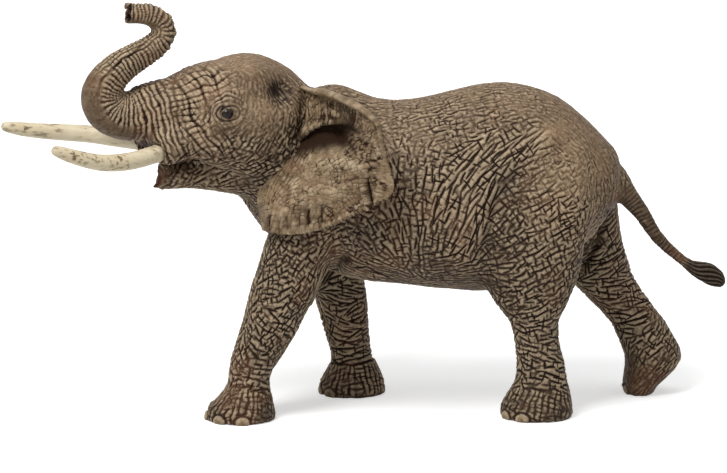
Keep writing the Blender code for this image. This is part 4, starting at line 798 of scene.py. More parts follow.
def trunkFolds(places, along, bearing, length):
    # rings on the brow side of the trunk, plain skin with specks on the other
    share = along / length
    steps = np.linspace(0, length, 60)
    spans = ([0, 0.15 * length, 0.4 * length, length], [1.9, 1.65, 1.3, 1.15])
    ringCount = np.concatenate([[0], np.cumsum(length / 59 / np.interp(steps, *spans)[1:])])
    wander = cloud(places, 5, 171) * 0.45 + cloud(places, 1.8, 172) * 0.34
    phase = np.interp(along, steps, ringCount) + wander
    rings = np.exp(-((phase - np.round(phase)) / 0.17) ** 2)
    rings *= 0.2 + 0.8 * smoothStep(-0.5, 0.3, cloud(places, 2.0, 175))
    bulge = np.abs(np.cos(math.pi * (phase - 0.5))) - 0.64
    turn = np.cos(bearing) + np.interp(share, [0.50, 0.62], [0.14, 0.34])
    upper = np.maximum(smoothStep(-0.16, 0.10, turn), smoothStep(0.35, 0.25, share))
    beads = smoothStep(0.50, 0.60, share) * smoothStep(0.90, 0.80, share)
    knots = ridge(bearing / (2 * math.pi) * 18 + cloud(places, 1.6, 182) * 0.4, 1.1, 0.22)
    specks = lineFamily(places, along, 1.6, 0.2, 181, 1.6, -0.35)
    under = beads * np.maximum(rings, knots) + (1 - beads) * 0.35 * specks
    splits = lineFamily(places, bearing * 5, 1.0, 0.16, 185, 1.8, -0.1)
    seam = np.exp(-((np.abs(bearing) - 2.15 + 0.3 * cloud(places, 4, 187)) / 0.09) ** 2)
    seam *= smoothStep(-0.3, 0.2, cloud(places, 2.0, 188))
    seam *= smoothStep(0.46, 0.54, share) * smoothStep(0.85, 0.7, share)
    lines = upper * (rings * folds["ringDepth"] + splits * 0.16) + (1 - upper) * under * 0.42 + seam * 0.26
    return lines, bulge * folds["bulge"], upper


def tailFolds(places, along, bearing, length):
    tuft = smoothStep(length * 0.66, length * 0.74, along) * (places[:, 0] > 86)
    drift = cloud(places * np.array([0.35, 1, 0.35]), 2.0, 191) * 0.5
    hair = ridge(bearing / (2 * math.pi) * 11 + 0.22 * along + drift, 1.6, 0.36)
    rings = lineFamily(places, along, 1.2, 0.25, 195, 3.0, 0.2)
    return (1 - tuft) * rings * 0.1 + tuft * hair * 0.6, tuft


def patches(spots, table):
    # sum of the soft patches of a table: place in the photograph, reach across and down, amount
    return sum(row[4] * blot(spots, *row[:4]) for row in table)


def withoutDetail(heights, edges, passes=22):
    soft = heights.copy()
    for _ in range(passes):
        soft += 0.5 * (neighbourMean(soft, edges) - soft)
    return soft


def carveHide(skin):
    places = readPlaces(skin)
    normals = readNormals(skin)
    edges = edgesOf(skin)
    count = len(places)
    middle = hide["middle"]
    inHeadPart = smoothStep(3, -5, (places - np.array(head["neck"])) @ np.array(head["neckWay"]))
    local = inHead(places)
    mirrored = places.copy()
    mirrored[:, 1] = middle - np.abs(places[:, 1] - middle)
    ownSide = headPlace(local[:, :1], -np.abs(local[:, 1:2]), local[:, 2:])
    mirrored = np.where(inHeadPart[:, None] > 0.5, ownSide, mirrored)
    spots = pictureSpots(mirrored)
    side, height = local[:, 1], local[:, 2]
    x, y, z = places.T

    trunkAlong, trunkBearing, trunkRadii, trunkLength = alongLimb(places, limbPaths["trunk"], headRight)
    tailAlong, tailBearing, tailRadii, tailLength = alongLimb(places, limbPaths["tail"], (0, 1, 0))
    onTrunk = smoothStep(8, 17, trunkAlong) * smoothStep(1.9, 1.5, trunkRadii)
    onTail = smoothStep(2.0, 6.0, tailAlong) * smoothStep(2.6, 1.9, tailRadii) * (x > 68)
    headShare = inHeadPart * (1 - onTrunk)
    facing = smoothStep(0.0, 0.35, np.abs(normals[:, 1]))

    footLine, nailEdge, nail, footShare, legShare = feetFolds(places)
    faceLines, nearEye, bare, eyeForm = faceFolds(places, local, headShare)
    trunkLines, bulge, upper = trunkFolds(places, trunkAlong, trunkBearing, trunkLength)
    tailLines, tuft = tailFolds(places, tailAlong, tailBearing, tailLength)
    lips = insideShape(spots, mouth["edge"])
    inMouth = smoothStep(0.2, 1.6, lips) * headShare

    # creases of the whole hide
    flowed = flowAt(spots, flow)
    creases, creaseLines = makeCreases(places, normals, flowed, 5, folds["creaseWidth"])
    onBody = (1 - onTrunk) * (1 - onTail) * (1 - 0.6 * footShare)
    plain = onBody * (1 - smoothStep(0.1, 0.5, nail)) * (1 - 0.8 * inMouth) * bare
    wobble = np.stack([cloud(places, 4.0, 3), cloud(places, 4.0, 4)], axis=1)
    moved = spots + wobble * 2.2
    stroke = np.zeros(count)
    for depth, path in flankStrokes:
        stroke = np.maximum(stroke, depth * strokeNear(moved, path, 1.1))
    stroke *= facing * (0.55 + 0.45 * smoothStep(-0.5, 0.0, cloud(places, 2.4, 7)))
    warp = np.stack([cloud(places, 4.5, seed) for seed in (3, 4, 6)], axis=1)
    border, share = cells(places + warp * 0.9, folds["crackSize"], 11)
    crack = np.exp(-(border / 0.18) ** 2) * (0.3 + 0.7 * smoothStep(-0.3, 0.3, cloud(places, 4, 17)))
    crack *= onBody * (1 - 0.75 * headShare) * np.clip(flowed[4] / 0.30, 0.4, 1)

    lines = (footLine * folds["footDepth"] + nailEdge * toes["edgeDepth"] + faceLines
             + onTrunk * trunkLines + onTail * tailLines)
    netted = np.maximum(stroke * (1 - onTrunk), crack * folds["crackDepth"])
    drawn = np.maximum(creaseLines * plain, 0.75 * netted) + 0.62 * lines
    drawn *= 1 - 0.22 * headShare * (1 - nearEye) * smoothStep(156, 142, spots[:, 1])
    drawn *= np.clip(0.9 + 0.4 * cloud(places, 7, 209), 0.5, 1.2)
    heights = (bulge * onTrunk * upper - np.maximum(creases * plain, netted) - lines
               + 0.05 * cloud(places, 1.6, 201) + 0.04 * (share - 0.5) + nail * toes["lift"])

    # broad forms: swells, valleys, pockets of the neck, mouth, nostrils and eyes
    deepValley = np.zeros(count)
    for depth, width, path in valleys:
        deepValley = np.maximum(deepValley, depth * strokeNear(spots + wobble * 0.8, path, width))
    broad = (patches(spots, swells) - deepValley) * facing * (1 - onTrunk)
    pocket = np.zeros(count)
    px, py, across, down = folds["pocket"]
    for sideSign, shift in ((-1, 0), (1, folds["farPocketShift"])):
        here = (np.sign(y - middle) == sideSign) | (inHeadPart > 0.5) & (np.sign(side) == sideSign)
        pocket = np.maximum(pocket, blot(spots, px + shift * (inHeadPart < 0.5), py, across, down) * here)
    broad -= folds["pocketDepth"] * pocket * facing
    broad -= mouth["depth"] * smoothStep(0.6, 4.5, lips) * headShare
    broad += mouth["rim"] * np.exp(-(lips + 0.9) ** 2) * headShare * (spots[:, 0] > 158)
    pits = np.zeros(count)
    for px, py in nostrils["places"]:
        oval = np.hypot((spots[:, 0] - px) / nostrils["reach"][0], (spots[:, 1] - py) / nostrils["reach"][1])
        pits = np.maximum(pits, smoothStep(1.1, 0.4, oval) * (trunkAlong > trunkLength - 5))
    broad -= nostrils["depth"] * pits
    broad += eyeForm * inHeadPart

    relief = heights - withoutDetail(heights, edges)
    carved = places + normals * (heights + broad)[:, None]
    for px, py, reach, ahead, lift in pushes:
        amount = blot(spots, px, py, reach, reach)
        carved[:, 0] += amount * ahead
        carved[:, 2] += amount * lift
    carved[:, 2] = np.maximum(carved[:, 2], 0)
    low, high = np.array(cadBox[0]) * 1000 + 0.02, np.array(cadBox[1]) * 1000 - 0.02
    low[2] = 0
    writePlaces(skin, np.clip(carved, low, high))

    # what the paint follows: wash in the grooves with painted shade in the hollows, dry brush on the crests with a
    # painted highlight on the thigh, tone with painted shade and light, and rust
    lipWash = np.maximum(smoothStep(174, 162, spots[:, 1]), 0.4 + 0.3 * cloud(places, 1.2, 205))
    # groove: wash in the creases and the mouth, with painted shade in the neck hollows behind the ears, in the
    # valleys and at the root of the trunk
    groove = np.maximum.reduce([np.clip((drawn - 0.03) / 0.36, 0, 1), 0.9 * inMouth * lipWash, pits, 0.7 * pocket,
                                0.55 * smoothStep(0.3, 1.5, deepValley) * facing,
                                patches(pictureSpots(places), [rootShadow])])
    # dark wash and painted shade in the hollows of the table
    speckled = facing * (1 + 0.3 * cloud(places, 1.5, 207))
    for row in washAndShade:
        groove = np.maximum(groove, row[4] * blot(spots, *row[:4]) * speckled)
    # painted shade and light in the tone: darker low on the body, under the head and in the hollows, paler on upward
    # faces and swells, and the patches of the table; the rest is the paint's own tone
    toneAndShade = 0.21 + np.clip(1.3 * relief, -0.30, 0.12) + 0.12 * cloud(places, 16, 211) + 0.09 * cloud(places, 5, 212)
    toneAndShade += 1.3 * np.clip(0.27 - flowed[4], 0, 0.15) - 0.5 * np.clip(flowed[4] - 0.26, 0, 0.2) * (1 - headShare)
    toneAndShade += 0.22 * onTrunk * (1 - upper) + 0.11 * headShare - 0.10 * legShare + patches(spots, paintedShadeAndLight)
    toneAndShade -= 0.30 * smoothStep(46, 34, z) * (1 - legShare) + 0.12 * smoothStep(17, 11, height) * headShare
    toneAndShade += 0.14 * smoothStep(0.2, 0.9, normals[:, 2]) * (1 - inHeadPart) + 0.5 * broad
    blotches = smoothStep(0.15, 0.75, cloud(places, 9, 221) + 0.35 * legShare * (y > 12) + 0.3 * footShare)
    rust = np.maximum.reduce([blotches, patches(spots, rustSpots) * facing, 2.0 * inMouth,
                              onTrunk * upper * smoothStep(-0.5, 0.4, cloud(places, 6, 223))])
    plate, edge = np.percentile(relief, (48, 93))
    crest = 0.12 * smoothStep(0, plate, relief) + 0.90 * smoothStep(plate, edge, relief)
    # painted highlight along the rear edge of the near thigh
    crest = np.maximum(crest, 0.8 * strokeNear(moved, thighHighlight, 1.5) * facing) * (1 - 0.8 * onTail * tuft)
    for name, values in {"groove": groove, "crest": crest, "toneAndShade": toneAndShade, "rust": rust, "tuft": onTail * tuft,
                         "nail": nail, "kept": np.ones(count)}.items():
        writeValues(skin, name, values)
    skin.data.polygons.foreach_set("use_smooth", np.ones(len(skin.data.polygons), bool))


carveHide(skin)
print("hide carved")

# Parting the hide at the glue joints

joints = {
    "leftForeleg": {"centre": (-20.36, -9.56, 44.98), "lean": -22.0, "roll": 0.0,
                    "low": (-13.63, -16.05, -90), "high": (12.62, 11.82, 0)},
    "rightForeleg": {"centre": (-8.74, 22.66, 35.23), "lean": 0.0, "roll": 0.0,
                     "low": (-11.94, -10.6, -70), "high": (16.17, 14.57, 0)},
    "leftHindleg": {"centre": (46.83, -8.34, 36.74), "lean": 3.0, "roll": -4.0,
                    "low": (-14.43, -15.35, -73), "high": (14.43, 10.6, 0)},
    "rightHindleg": {"centre": (66.58, 22.66, 39.3), "lean": 34.0, "roll": 0.0,
                     "low": (-17.08, -11.4, -79), "high": (14.07, 15.48, 0)},
}


seats = {
    "tail": {"centre": (72.6, 6.76, 64.9), "lean": 50.2, "low": (0, -6.4, -4.8), "high": (60, 6.4, 10)},
    "neck": {"lean": 35, "low": (-118, -37, -104), "high": (0, 37, 104)},
    "jaw": {"low": (-118, -37, -42), "high": (-33.04, 37, 12.51)},
    "trunk": {"centre": (-64.81, -13.16, 87.64), "way": (-0.9284, -0.3564, -0.1053),
              "low": (0, -14, -14), "high": (53, 14, 14)},
    "raisedTrunk": [((-90, -40, 98), (-58, 20, 125)), ((-90, -40, 104), (-50, 20, 125))],
    "leftHalf": ((-150, -90, -10), (150, hide["middle"], 150)),
}


def boxCutter(place, low, high):
    bpy.ops.mesh.primitive_cube_add(size=1)
    cutter = bpy.context.object
    low, high = Vector(low), Vector(high)
    placed = Matrix.Translation((low + high) / 2) @ Matrix.Diagonal((*(high - low), 1))
    cutter.data.transform(Matrix.Scale(millimetre, 4) @ place @ placed)
    return cutter


def cut(piece, cutter, operation):
    addModifier(piece, "joint", "BOOLEAN", operation=operation, solver="MANIFOLD", object=cutter)
    return applyAll(piece)


def tilted(place, lean, roll=0.0):
    lean, roll = math.radians(lean), math.radians(roll)
    return Matrix.Translation(place) @ Matrix.Rotation(lean, 4, "Y") @ Matrix.Rotation(roll, 4, "X")


def partOff(skin, label, cutter):
    # takes what lies inside a cutter off the hide as a piece of its own
    piece = bpy.data.objects.new(label, skin.data.copy())
    bpy.context.scene.collection.objects.link(piece)
    cut(piece, cutter, "INTERSECT")
    cut(skin, cutter, "DIFFERENCE")
    bpy.data.objects.remove(cutter, do_unlink=True)
    return piece


def partHide(skin):
    whole = bpy.data.objects.new("wholeHide", skin.data.copy())
    pieces = {}
    for label, joint in joints.items():
        cutter = boxCutter(tilted(joint["centre"], -joint["lean"], joint["roll"]), joint["low"], joint["high"])
        pieces[label] = partOff(skin, label, cutter)
    tail, neck, jaw, trunk = [seats[name] for name in ("tail", "neck", "jaw", "trunk")]
    cutter = boxCutter(tilted(tail["centre"], tail["lean"]), tail["low"], tail["high"])
    pieces["tailSkin"] = partOff(skin, "tailSkin", cutter)
    turn = Matrix.Rotation(headTurn, 4, "Z")
    neckPlace = Matrix.Translation(head["neck"]) @ turn @ tilted((0, 0, 0), neck["lean"])
    cutter = boxCutter(neckPlace, neck["low"], neck["high"])
    headSkin = partOff(skin, "headSkin", cutter)
    cutter = boxCutter(Matrix.Translation(head["pivot"]) @ turn, jaw["low"], jaw["high"])
    pieces["lowerJaw"] = partOff(headSkin, "lowerJaw", cutter)
    way = Vector(trunk["way"]).to_track_quat("X", "Z").to_matrix().to_4x4()
    cutter = boxCutter(Matrix.Translation(trunk["centre"]) @ way, trunk["low"], trunk["high"])
    for low, high in seats["raisedTrunk"]:
        cut(cutter, boxCutter(Matrix.Identity(4), low, high), "UNION")
    pieces["trunkSkin"] = partOff(headSkin, "trunkSkin", cutter)
    pieces["headSkin"] = headSkin
    pieces["leftBody"] = partOff(skin, "leftBody", boxCutter(Matrix.Identity(4), *seats["leftHalf"]))
    skin.name = "rightBody"
    pieces["rightBody"] = skin
    for cutter in [item for item in bpy.data.objects if item.name.startswith("Cube")]:
        bpy.data.objects.remove(cutter, do_unlink=True)

    # points that a cut has made take their paint from the nearest point of the whole hide
    names = ["groove", "crest", "toneAndShade", "rust", "tuft", "nail"]
    source = {name: readValues(whole, name) for name in names}
    places = readPlaces(whole)
    tree = KDTree(len(places))
    for index, place in enumerate(places):
        tree.insert(place, index)
    tree.balance()
    for piece in pieces.values():
        kept = readValues(piece, "kept")
        new = np.nonzero(kept < 0.5)[0]
        near = np.array([tree.find(place)[1] for place in readPlaces(piece)[new]], dtype=int)
        for name in names:
            values = readValues(piece, name)
            values[new] = source[name][near]
            writeValues(piece, name, values)
        if piece in (pieces["leftBody"], pieces["rightBody"]):
            ratio = hide["leftShare"] if piece == pieces["leftBody"] else hide["rightShare"]
            addModifier(piece, "thin", "DECIMATE", ratio=ratio)
            applyAll(piece)
            kept = readValues(piece, "kept")
        starts = np.empty(len(piece.data.polygons), np.int32)
        corners = np.empty(len(piece.data.loops), np.int32)
        piece.data.polygons.foreach_get("loop_start", starts)
        piece.data.loops.foreach_get("vertex_index", corners)
        skinShare = np.maximum.reduceat(kept[corners], starts)
        piece.data.polygons.foreach_set("use_smooth", skinShare > 0.5)
    bpy.data.objects.remove(whole)
    return pieces


pieces = partHide(skin)
print("hide parted:", ", ".join(pieces))

replaced = {"leftForeleg": ["left_foreleg"], "rightForeleg": ["right_foreleg"], "leftHindleg": ["left_hindleg"],
            "rightHindleg": ["right_hindleg"], "tailSkin": ["tail"], "headSkin": ["head"], "lowerJaw": ["lower_jaw"],
            "trunkSkin": ["trunk"], "leftBody": ["torso_left_shell"], "rightBody": ["torso_right_shell"]}
for label, piece in pieces.items():
    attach(piece, "root")
    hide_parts(*replaced[label])

# Ears

ear = {
    "anchor": (8.02, 14.43, 31.07),
    "sweep": 30.0,
    "reach": 27.0,
    "length": 40.0,
    "thickness": 1.4,
    "rollRadius": 1.5,
    "rollTurn": 150.0,
    "rollDrop": 0.6,              # the top of the sheet lies this far under the top of the roll
    "columns": 190,
    "rows": 190,
    "rollRows": 12,
    "creaseWidth": 0.28,
    "hood": [(290, 142), (300, 134), (311, 126.5), (321, 122), (338, 120.5), (349, 123.5), (357, 130), (362, 138)],
    "hoodLift": 3.4,
    "pocket": 5.0,
    "top": [(0.00, 0.00, 0.00), (-0.05, 0.38, 0.014), (-0.11, 0.57, 0.005), (-0.21, 0.81, -0.042),
            (-0.33, 0.99, -0.150)],
    "rear": [(-0.33, 0.99, -0.150), (-0.36, 1.01, -0.26), (-0.40, 1.01, -0.40), (-0.47, 0.99, -0.60),
             (-0.33, 0.93, -0.71)],
    "bottom": [(0.47, 0.14, -0.965), (0.32, 0.32, -0.965), (0.08, 0.57, -0.90), (-0.16, 0.83, -0.77),
               (-0.33, 0.93, -0.71)],
    "front": [(0.00, 0.00, 0.00), (0.05, 0.02, -0.18), (0.15, 0.02, -0.32), (0.38, -0.03, -0.54), (0.48, 0.03, -0.73),
              (0.47, 0.14, -0.965)],
    "dents": [(0.62, 0.30, 0.24, 0.040), (0.55, 0.62, 0.26, -0.075), (0.20, 0.60, 0.18, -0.030),
              (0.86, 0.86, 0.14, 0.050)],
    # forms on the sheet: place in the photograph, reach across and down in pixels, millimetres outwards
    "forms": [(290, 152, 12, 6, -1.4), (343, 165, 17, 4.5, 1.9), (336, 180, 22, 8, -1.3), (298, 184, 13, 20, 1.1),
              (346, 208, 8, 8, -0.5), (386, 184, 7, 10, 0.6), (312, 203, 30, 7, 0.5)],
    # painted shadow along the fold beside the head, and rusty patches: place in the photograph and reach in pixels
    "fold": [(304, 139), (290, 148), (276, 159), (264, 172), (258, 186)],
    "rusty": [(341, 211, 9), (356, 198, 6), (384, 188, 5), (282, 197, 9), (348, 178, 8), (292, 165, 8)],
    "rightSizes": (0.78, 0.90, 0.86),
    # slits, folds and lifted lines: millimetres, width in pixels, path in the photograph
    "lines": [(-0.8, 3.4, [(308.5, 207), (308, 217), (309, 229)]),
              (-1.1, 2.0, [(320.5, 204), (321, 215), (322, 227)]),
              (-0.8, 2.0, [(300, 210), (299.5, 218), (300, 228)]),
              (-0.7, 1.9, [(287, 214), (287.5, 224), (288, 233)]),
              (-0.7, 1.9, [(279.5, 220), (279, 228), (279, 235)]), (-0.6, 1.8, [(271, 212), (270, 224), (270, 234)]),
              (-0.8, 2.0, [(331, 206), (333, 214), (336, 222)]),
              (-1.7, 2.6, [(367.5, 180), (369.5, 190), (371, 198), (372, 206)]),
              (0.9, 2.0, [(362, 185), (365, 192), (367, 200), (369, 207)]),
              (0.5, 2.2, [(377, 190), (378, 198), (378, 205)]),
              (-0.6, 1.3, [(340, 182), (352, 181), (366, 178), (380, 180)]),
              (-0.5, 1.2, [(356, 165), (368, 163), (380, 161)]), (-0.5, 1.1, [(352, 171), (366, 168), (380, 167)]),
              (-0.5, 1.2, [(296, 166), (300, 172), (300, 181)]),
              (0.4, 2.0, [(292, 186), (300, 190), (312, 189), (322, 192), (336, 192)]),
              (-0.5, 1.2, [(273, 190), (276, 200), (281, 206)]), (-0.4, 1.1, [(342, 200), (349, 208), (356, 214)]),
              (0.45, 2.2, [(292, 231), (312, 227.5), (332, 225), (346, 221)])],
    # how the creases run on the ear, as in the flow of the hide
    "flow": [(318, 104, 88, 3.0, 0.95, 0.2, 0.44), (334, 106, 72, 2.8, 0.95, 0.2, 0.50),
             (350, 112, 52, 3.0, 0.9, 0.2, 0.54), (360, 120, 38, 3.4, 0.9, 0.1, 0.54),
             (370, 130, 22, 3.2, 0.9, 0.1, 0.48), (378, 145, 6, 2.6, 0.95, 0.1, 0.24),
             (378, 160, 4, 3.2, 0.95, 0.1, 0.30), (384, 175, -4, 2.8, 0.95, 0.1, 0.26),
             (384, 188, -14, 2.6, 1.0, 0.2, 0.28), (366, 186, 14, 3.0, 0.85, 0.6, 0.36),
             (355, 172, 8, 2.4, 1.1, 0.2, 0.22), (330, 150, 20, 1.5, 1.1, 0.3, 0.14),
             (300, 155, 50, 1.8, 1.1, 0.3, 0.16), (280, 170, 70, 2.8, 1.1, 0.1, 0.22),
             (268, 190, 84, 3.2, 1.1, 0.1, 0.22), (266, 215, 88, 3.0, 1.2, 0.1, 0.18),
             (282, 196, 50, 2.4, 1.2, 0.5, 0.30), (300, 196, 12, 2.2, 1.2, 0.4, 0.26),
             (318, 182, 6, 2.0, 1.3, 0.2, 0.20), (330, 196, 0, 2.0, 1.4, 0.2, 0.20),
             (346, 186, 18, 2.4, 1.0, 0.6, 0.30), (340, 208, -50, 2.4, 1.1, 0.9, 0.34),
             (352, 204, -48, 2.4, 1.1, 0.9, 0.32), (300, 208, 4, 2.0, 1.2, 0.5, 0.24),
             (288, 214, 80, 2.2, 1.3, 0.3, 0.20), (312, 214, 85, 2.2, 1.2, 0.3, 0.20)],
}


def alongCurve(curve, shares):
    lengths = np.concatenate([[0], np.cumsum(np.linalg.norm(np.diff(curve, axis=0), axis=1))])
    return np.stack([np.interp(shares, lengths / lengths[-1], curve[:, axis]) for axis in range(3)], axis=1)


def makeEar(label, sideSign, sizes):
    # a sheet spread between four curves, its top edge rolled over
    columns, rows, rollRows = ear["columns"], ear["rows"], ear["rollRows"]
    deselectAll()
    bpy.ops.mesh.primitive_grid_add(x_subdivisions=columns, y_subdivisions=rows, size=2)
    piece = bpy.context.object
    piece.name = label
    flat = readPlaces(piece) / 1000
    column = np.round((flat[:, 0] + 1) / 2 * columns).astype(int)
    row = np.round((1 - flat[:, 1]) / 2 * rows).astype(int)
    across = np.linspace(-0.2, 1, columns + 1)
    down = np.linspace(0, 1, rows - rollRows + 1)
    size = np.array([ear["sweep"], ear["reach"], ear["length"]]) * np.array(sizes)
    top, rear, bottom, front = [finePath(ear[key], 8) for key in ("top", "rear", "bottom", "front")]
    held = np.maximum(across, 0)[None, :, None]
    level = down[:, None, None]
    topLine, bottomLine = alongCurve(top, held.ravel())[None], alongCurve(bottom, held.ravel())[None]
    frontLine, rearLine = alongCurve(front, down)[:, None], alongCurve(rear, down)[:, None]
    grid = ((1 - level) * topLine + level * bottomLine + (1 - held) * frontLine + held * rearLine
            - (1 - held) * (1 - level) * top[0] - held * (1 - level) * top[-1]
            - (1 - held) * level * bottom[0] - held * level * bottom[-1])
    grid = grid + np.array([0.1, -1, 0]) * np.maximum(-across, 0)[None, :, None] * 0.9
    grid = grid * size
    fade = np.clip(np.minimum((across + 0.1) / 0.3, (1.06 - across) / 0.35), 0.42, 1)
    grid[:, :, 2] -= ear["rollDrop"] * fade[None, :] * sizes[2] * (1 - smoothStep(0, 0.6, down))[:, None]
    slopeAcross, slopeDown = np.gradient(grid, axis=1), np.gradient(grid, axis=0)
    outward = unit(np.cross(slopeAcross, slopeDown))
    outward *= np.sign((outward @ np.array([1.0, 1.0, 0.0])).mean())
    acrossGrid, downGrid = np.meshgrid(across, down)
    offset = np.zeros_like(acrossGrid)
    for u, v, reach, depth in ear["dents"]:
        offset -= depth * np.exp(-((acrossGrid - u) ** 2 + (downGrid - v) ** 2) / reach ** 2)
    grid = grid + outward * (offset * ear["reach"])[:, :, None]
    rise = unit(-slopeDown[0])
    radius = ear["rollRadius"] * sizes[2] * fade[:, None]
    roll = []
    for index in range(rollRows, 0, -1):
        angle = math.radians(ear["rollTurn"]) * index / rollRows
        roll.append(grid[0] + (rise * math.sin(angle) + outward[0] * (1 - math.cos(angle))) * radius)
    grid = np.concatenate([np.array(roll), grid])
    spots = grid.reshape(-1, 3) + np.array(ear["anchor"])
    spots[:, 1] *= sideSign
    world = (np.array(head["pivot"]) + spots[:, :1] * headAhead + spots[:, 1:2] * headRight + spots[:, 2:] * headUp)
    world = world.reshape(rows + 1, columns + 1, 3)
    writePlaces(piece, world[row, column])
    u = np.concatenate([np.zeros((rollRows, columns + 1)) + across, acrossGrid])[row, column]
    rollDown = np.repeat(np.linspace(-0.3, 0, rollRows, endpoint=False)[:, None], columns + 1, 1)
    v = np.concatenate([rollDown, downGrid])[row, column]
    return piece, u, v


def carveEar(piece, u, v, sideSign):
    places = readPlaces(piece)
    normals = readNormals(piece)
    away = np.sign((normals[v > 0.1] @ headRight).mean() * sideSign)
    normals = normals * away
    local = inHead(places)
    turned = inHead(places + normals) - local
    if sideSign > 0:
        # the right ear is drawn as the left one is, grown to its size about the anchor
        anchor = np.array(ear["anchor"])
        sizes = np.array(ear["rightSizes"])
        local[:, 1] *= -1
        turned[:, 1] *= -1
        local = (local - anchor * [1, -1, 1]) / sizes + anchor * [1, -1, 1]
    seen = headPlace(local[:, :1], local[:, 1:2], local[:, 2:])
    spots = pictureSpots(seen)
    seenNormals = headAhead * turned[:, :1] + headRight * turned[:, 1:2] + headUp * turned[:, 2:]
    sheet = smoothStep(-0.04, 0.10, v)
    broad = patches(spots, ear["forms"]) * sheet
    hood = np.array(ear["hood"], float)
    below = spots[:, 1] - np.interp(spots[:, 0], hood[:, 0], hood[:, 1])
    fadeRight = smoothStep(364, 346, spots[:, 0])
    fadeLeft = smoothStep(282, 300, spots[:, 0])
    shelf = smoothStep(30, 3, -below) * smoothStep(376, 350, spots[:, 0]) * smoothStep(2.6, -0.6, below)
    pocket = smoothStep(-0.6, 3.0, below) * smoothStep(32, 8, below) * fadeRight * fadeLeft
    # painted shade in the pocket under the hood
    pocketShade = smoothStep(-1.5, 1.0, below) * smoothStep(36, 22, below + 0.15 * np.abs(spots[:, 0] - 326))
    pocketShade *= fadeRight * fadeLeft
    broad += ear["hoodLift"] * shelf * smoothStep(-0.02, 0.16, v) - ear["pocket"] * pocket * sheet
    strokes = np.zeros(len(places))
    for lift, width, path in ear["lines"]:
        strokes += lift * strokeNear(spots, path, width)
    strokes = np.clip(strokes * sheet, -1.8, 1.0)
    creases, creaseLines = makeCreases(seen, seenNormals, flowAt(spots, ear["flow"]), 23, ear["creaseWidth"])
    rim = np.maximum(smoothStep(0.93, 1.0, u), smoothStep(0.955, 1.0, v))
    fading = (1 - 0.5 * rim) * smoothStep(-0.10, 0.03, v)
    fading *= 1 - 0.8 * np.exp(-(below / 2.5) ** 2) * (spots[:, 0] < 366)
    creases *= fading
    creaseLines *= fading
    wavy = 0.30 * cloud(seen, 6, 311) + 0.10 * cloud(seen, 2.2, 312) + 0.10 * rim
    fine = 1.3 * strokes + wavy - 1.4 * np.minimum(creases, 0.3)
    moved = places + normals * fine[:, None] + headRight * (sideSign * broad)[:, None]
    low, high = np.array(cadBox[0]) * 1000 + 0.8, np.array(cadBox[1]) * 1000 - 0.8
    writePlaces(piece, np.clip(moved, low, high))
    # tone of the ear: its own lumps of tone, with painted shade under the hood and a painted highlight along the
    # ridge
    toneAndShade = 0.86 + 0.28 * cloud(seen, 8, 321) + 0.34 * cloud(seen, 2.6, 322) - 0.15 * smoothStep(0.0, -0.2, v)
    toneAndShade -= 0.55 * smoothStep(-17, -3, below) * smoothStep(374, 352, spots[:, 0]) * (below < 2)
    toneAndShade += 0.75 * blot(spots, 340, 164 + 0.12 * (spots[:, 0] - 340), 20, 5) + 0.12 * rim
    toneAndShade += 0.35 * blot(spots, 322, 186, 26, 10) - 0.2 * smoothStep(212, 226, spots[:, 1])
    rust = smoothStep(0.25, 0.8, cloud(seen, 5, 331)) * 0.35 * (1 - pocketShade)
    for px, py, reach in ear["rusty"]:
        rust = np.maximum(rust, blot(spots, px, py, reach, reach))
    dark = 0.62 * np.clip(creaseLines / 0.15, 0, 1) * (0.8 + 0.4 * smoothStep(-0.4, 0.4, cloud(seen, 4, 345)))
    # painted shadow along the fold beside the head
    fold = strokeNear(spots, ear["fold"], 4.0)
    # dark slits and the painted shade of the pocket, painted with the near-black of the tail tuft
    deep = np.maximum(pocketShade, np.clip((-strokes - 0.45) / 0.6, 0, 1))
    dark = np.maximum.reduce([dark, 0.75 * smoothStep(0.1, 0.9, fold), 0.85 * np.clip((-strokes - 0.12) / 0.5, 0, 1),
                              0.7 * pocketShade])
    # painted highlight on the ridge of the ear and on a spot below it
    paintedHighlight = np.maximum(blot(spots, 341, 165 + 0.10 * (spots[:, 0] - 341), 19, 4), blot(spots, 293, 184, 4, 6))
    crest = np.clip(0.6 * strokes + 0.8 * wavy + 0.7 * cloud(seen, 1.2, 341) + 1.6 * paintedHighlight + 0.26, 0, 1)
    crest *= 1 - np.maximum(dark, deep)
    for name, values in {"toneAndShade": toneAndShade, "groove": dark, "crest": crest, "rust": rust, "tuft": deep,
                         "nail": np.zeros(len(places))}.items():
        writeValues(piece, name, values)


def finishEar(piece, node):
    addModifier(piece, "thickness", "SOLIDIFY", thickness=ear["thickness"] * millimetre, offset=0)
    applyAll(piece)
    inEditMode(piece, bpy.ops.mesh.normals_make_consistent, inside=False)
    bpy.ops.object.shade_smooth()
    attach(piece, "root")
    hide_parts(node)


ears = {}
for label, node, sideSign, sizes in (("leftEar", "left_ear", -1, (1, 1, 1)),
                                     ("rightEar", "right_ear", 1, ear["rightSizes"])):
    ears[label], u, v = makeEar(label, sideSign, sizes)
    carveEar(ears[label], u, v, sideSign)
    finishEar(ears[label], node)
print("ears made")

# Tusks and eyes

tusk = {
    "ivory": (0.87, 0.83, 0.73),
    "aged": (0.76, 0.68, 0.52),
    "stain": (0.36, 0.27, 0.16),
    "grain": 1100,
    "patches": 150,
}
eyeball = {
    "radius": 2.1,
    "bulge": 0.12,                # of the middle of the eye
    "pupil": (0.02, 0.016, 0.014),
    "iris": (0.13, 0.075, 0.04),
    "rim": (0.05, 0.035, 0.025),
    "grain": 2500,
    "left": face["eye"],
    "right": (-50.39, 8.92, 89.97),
}


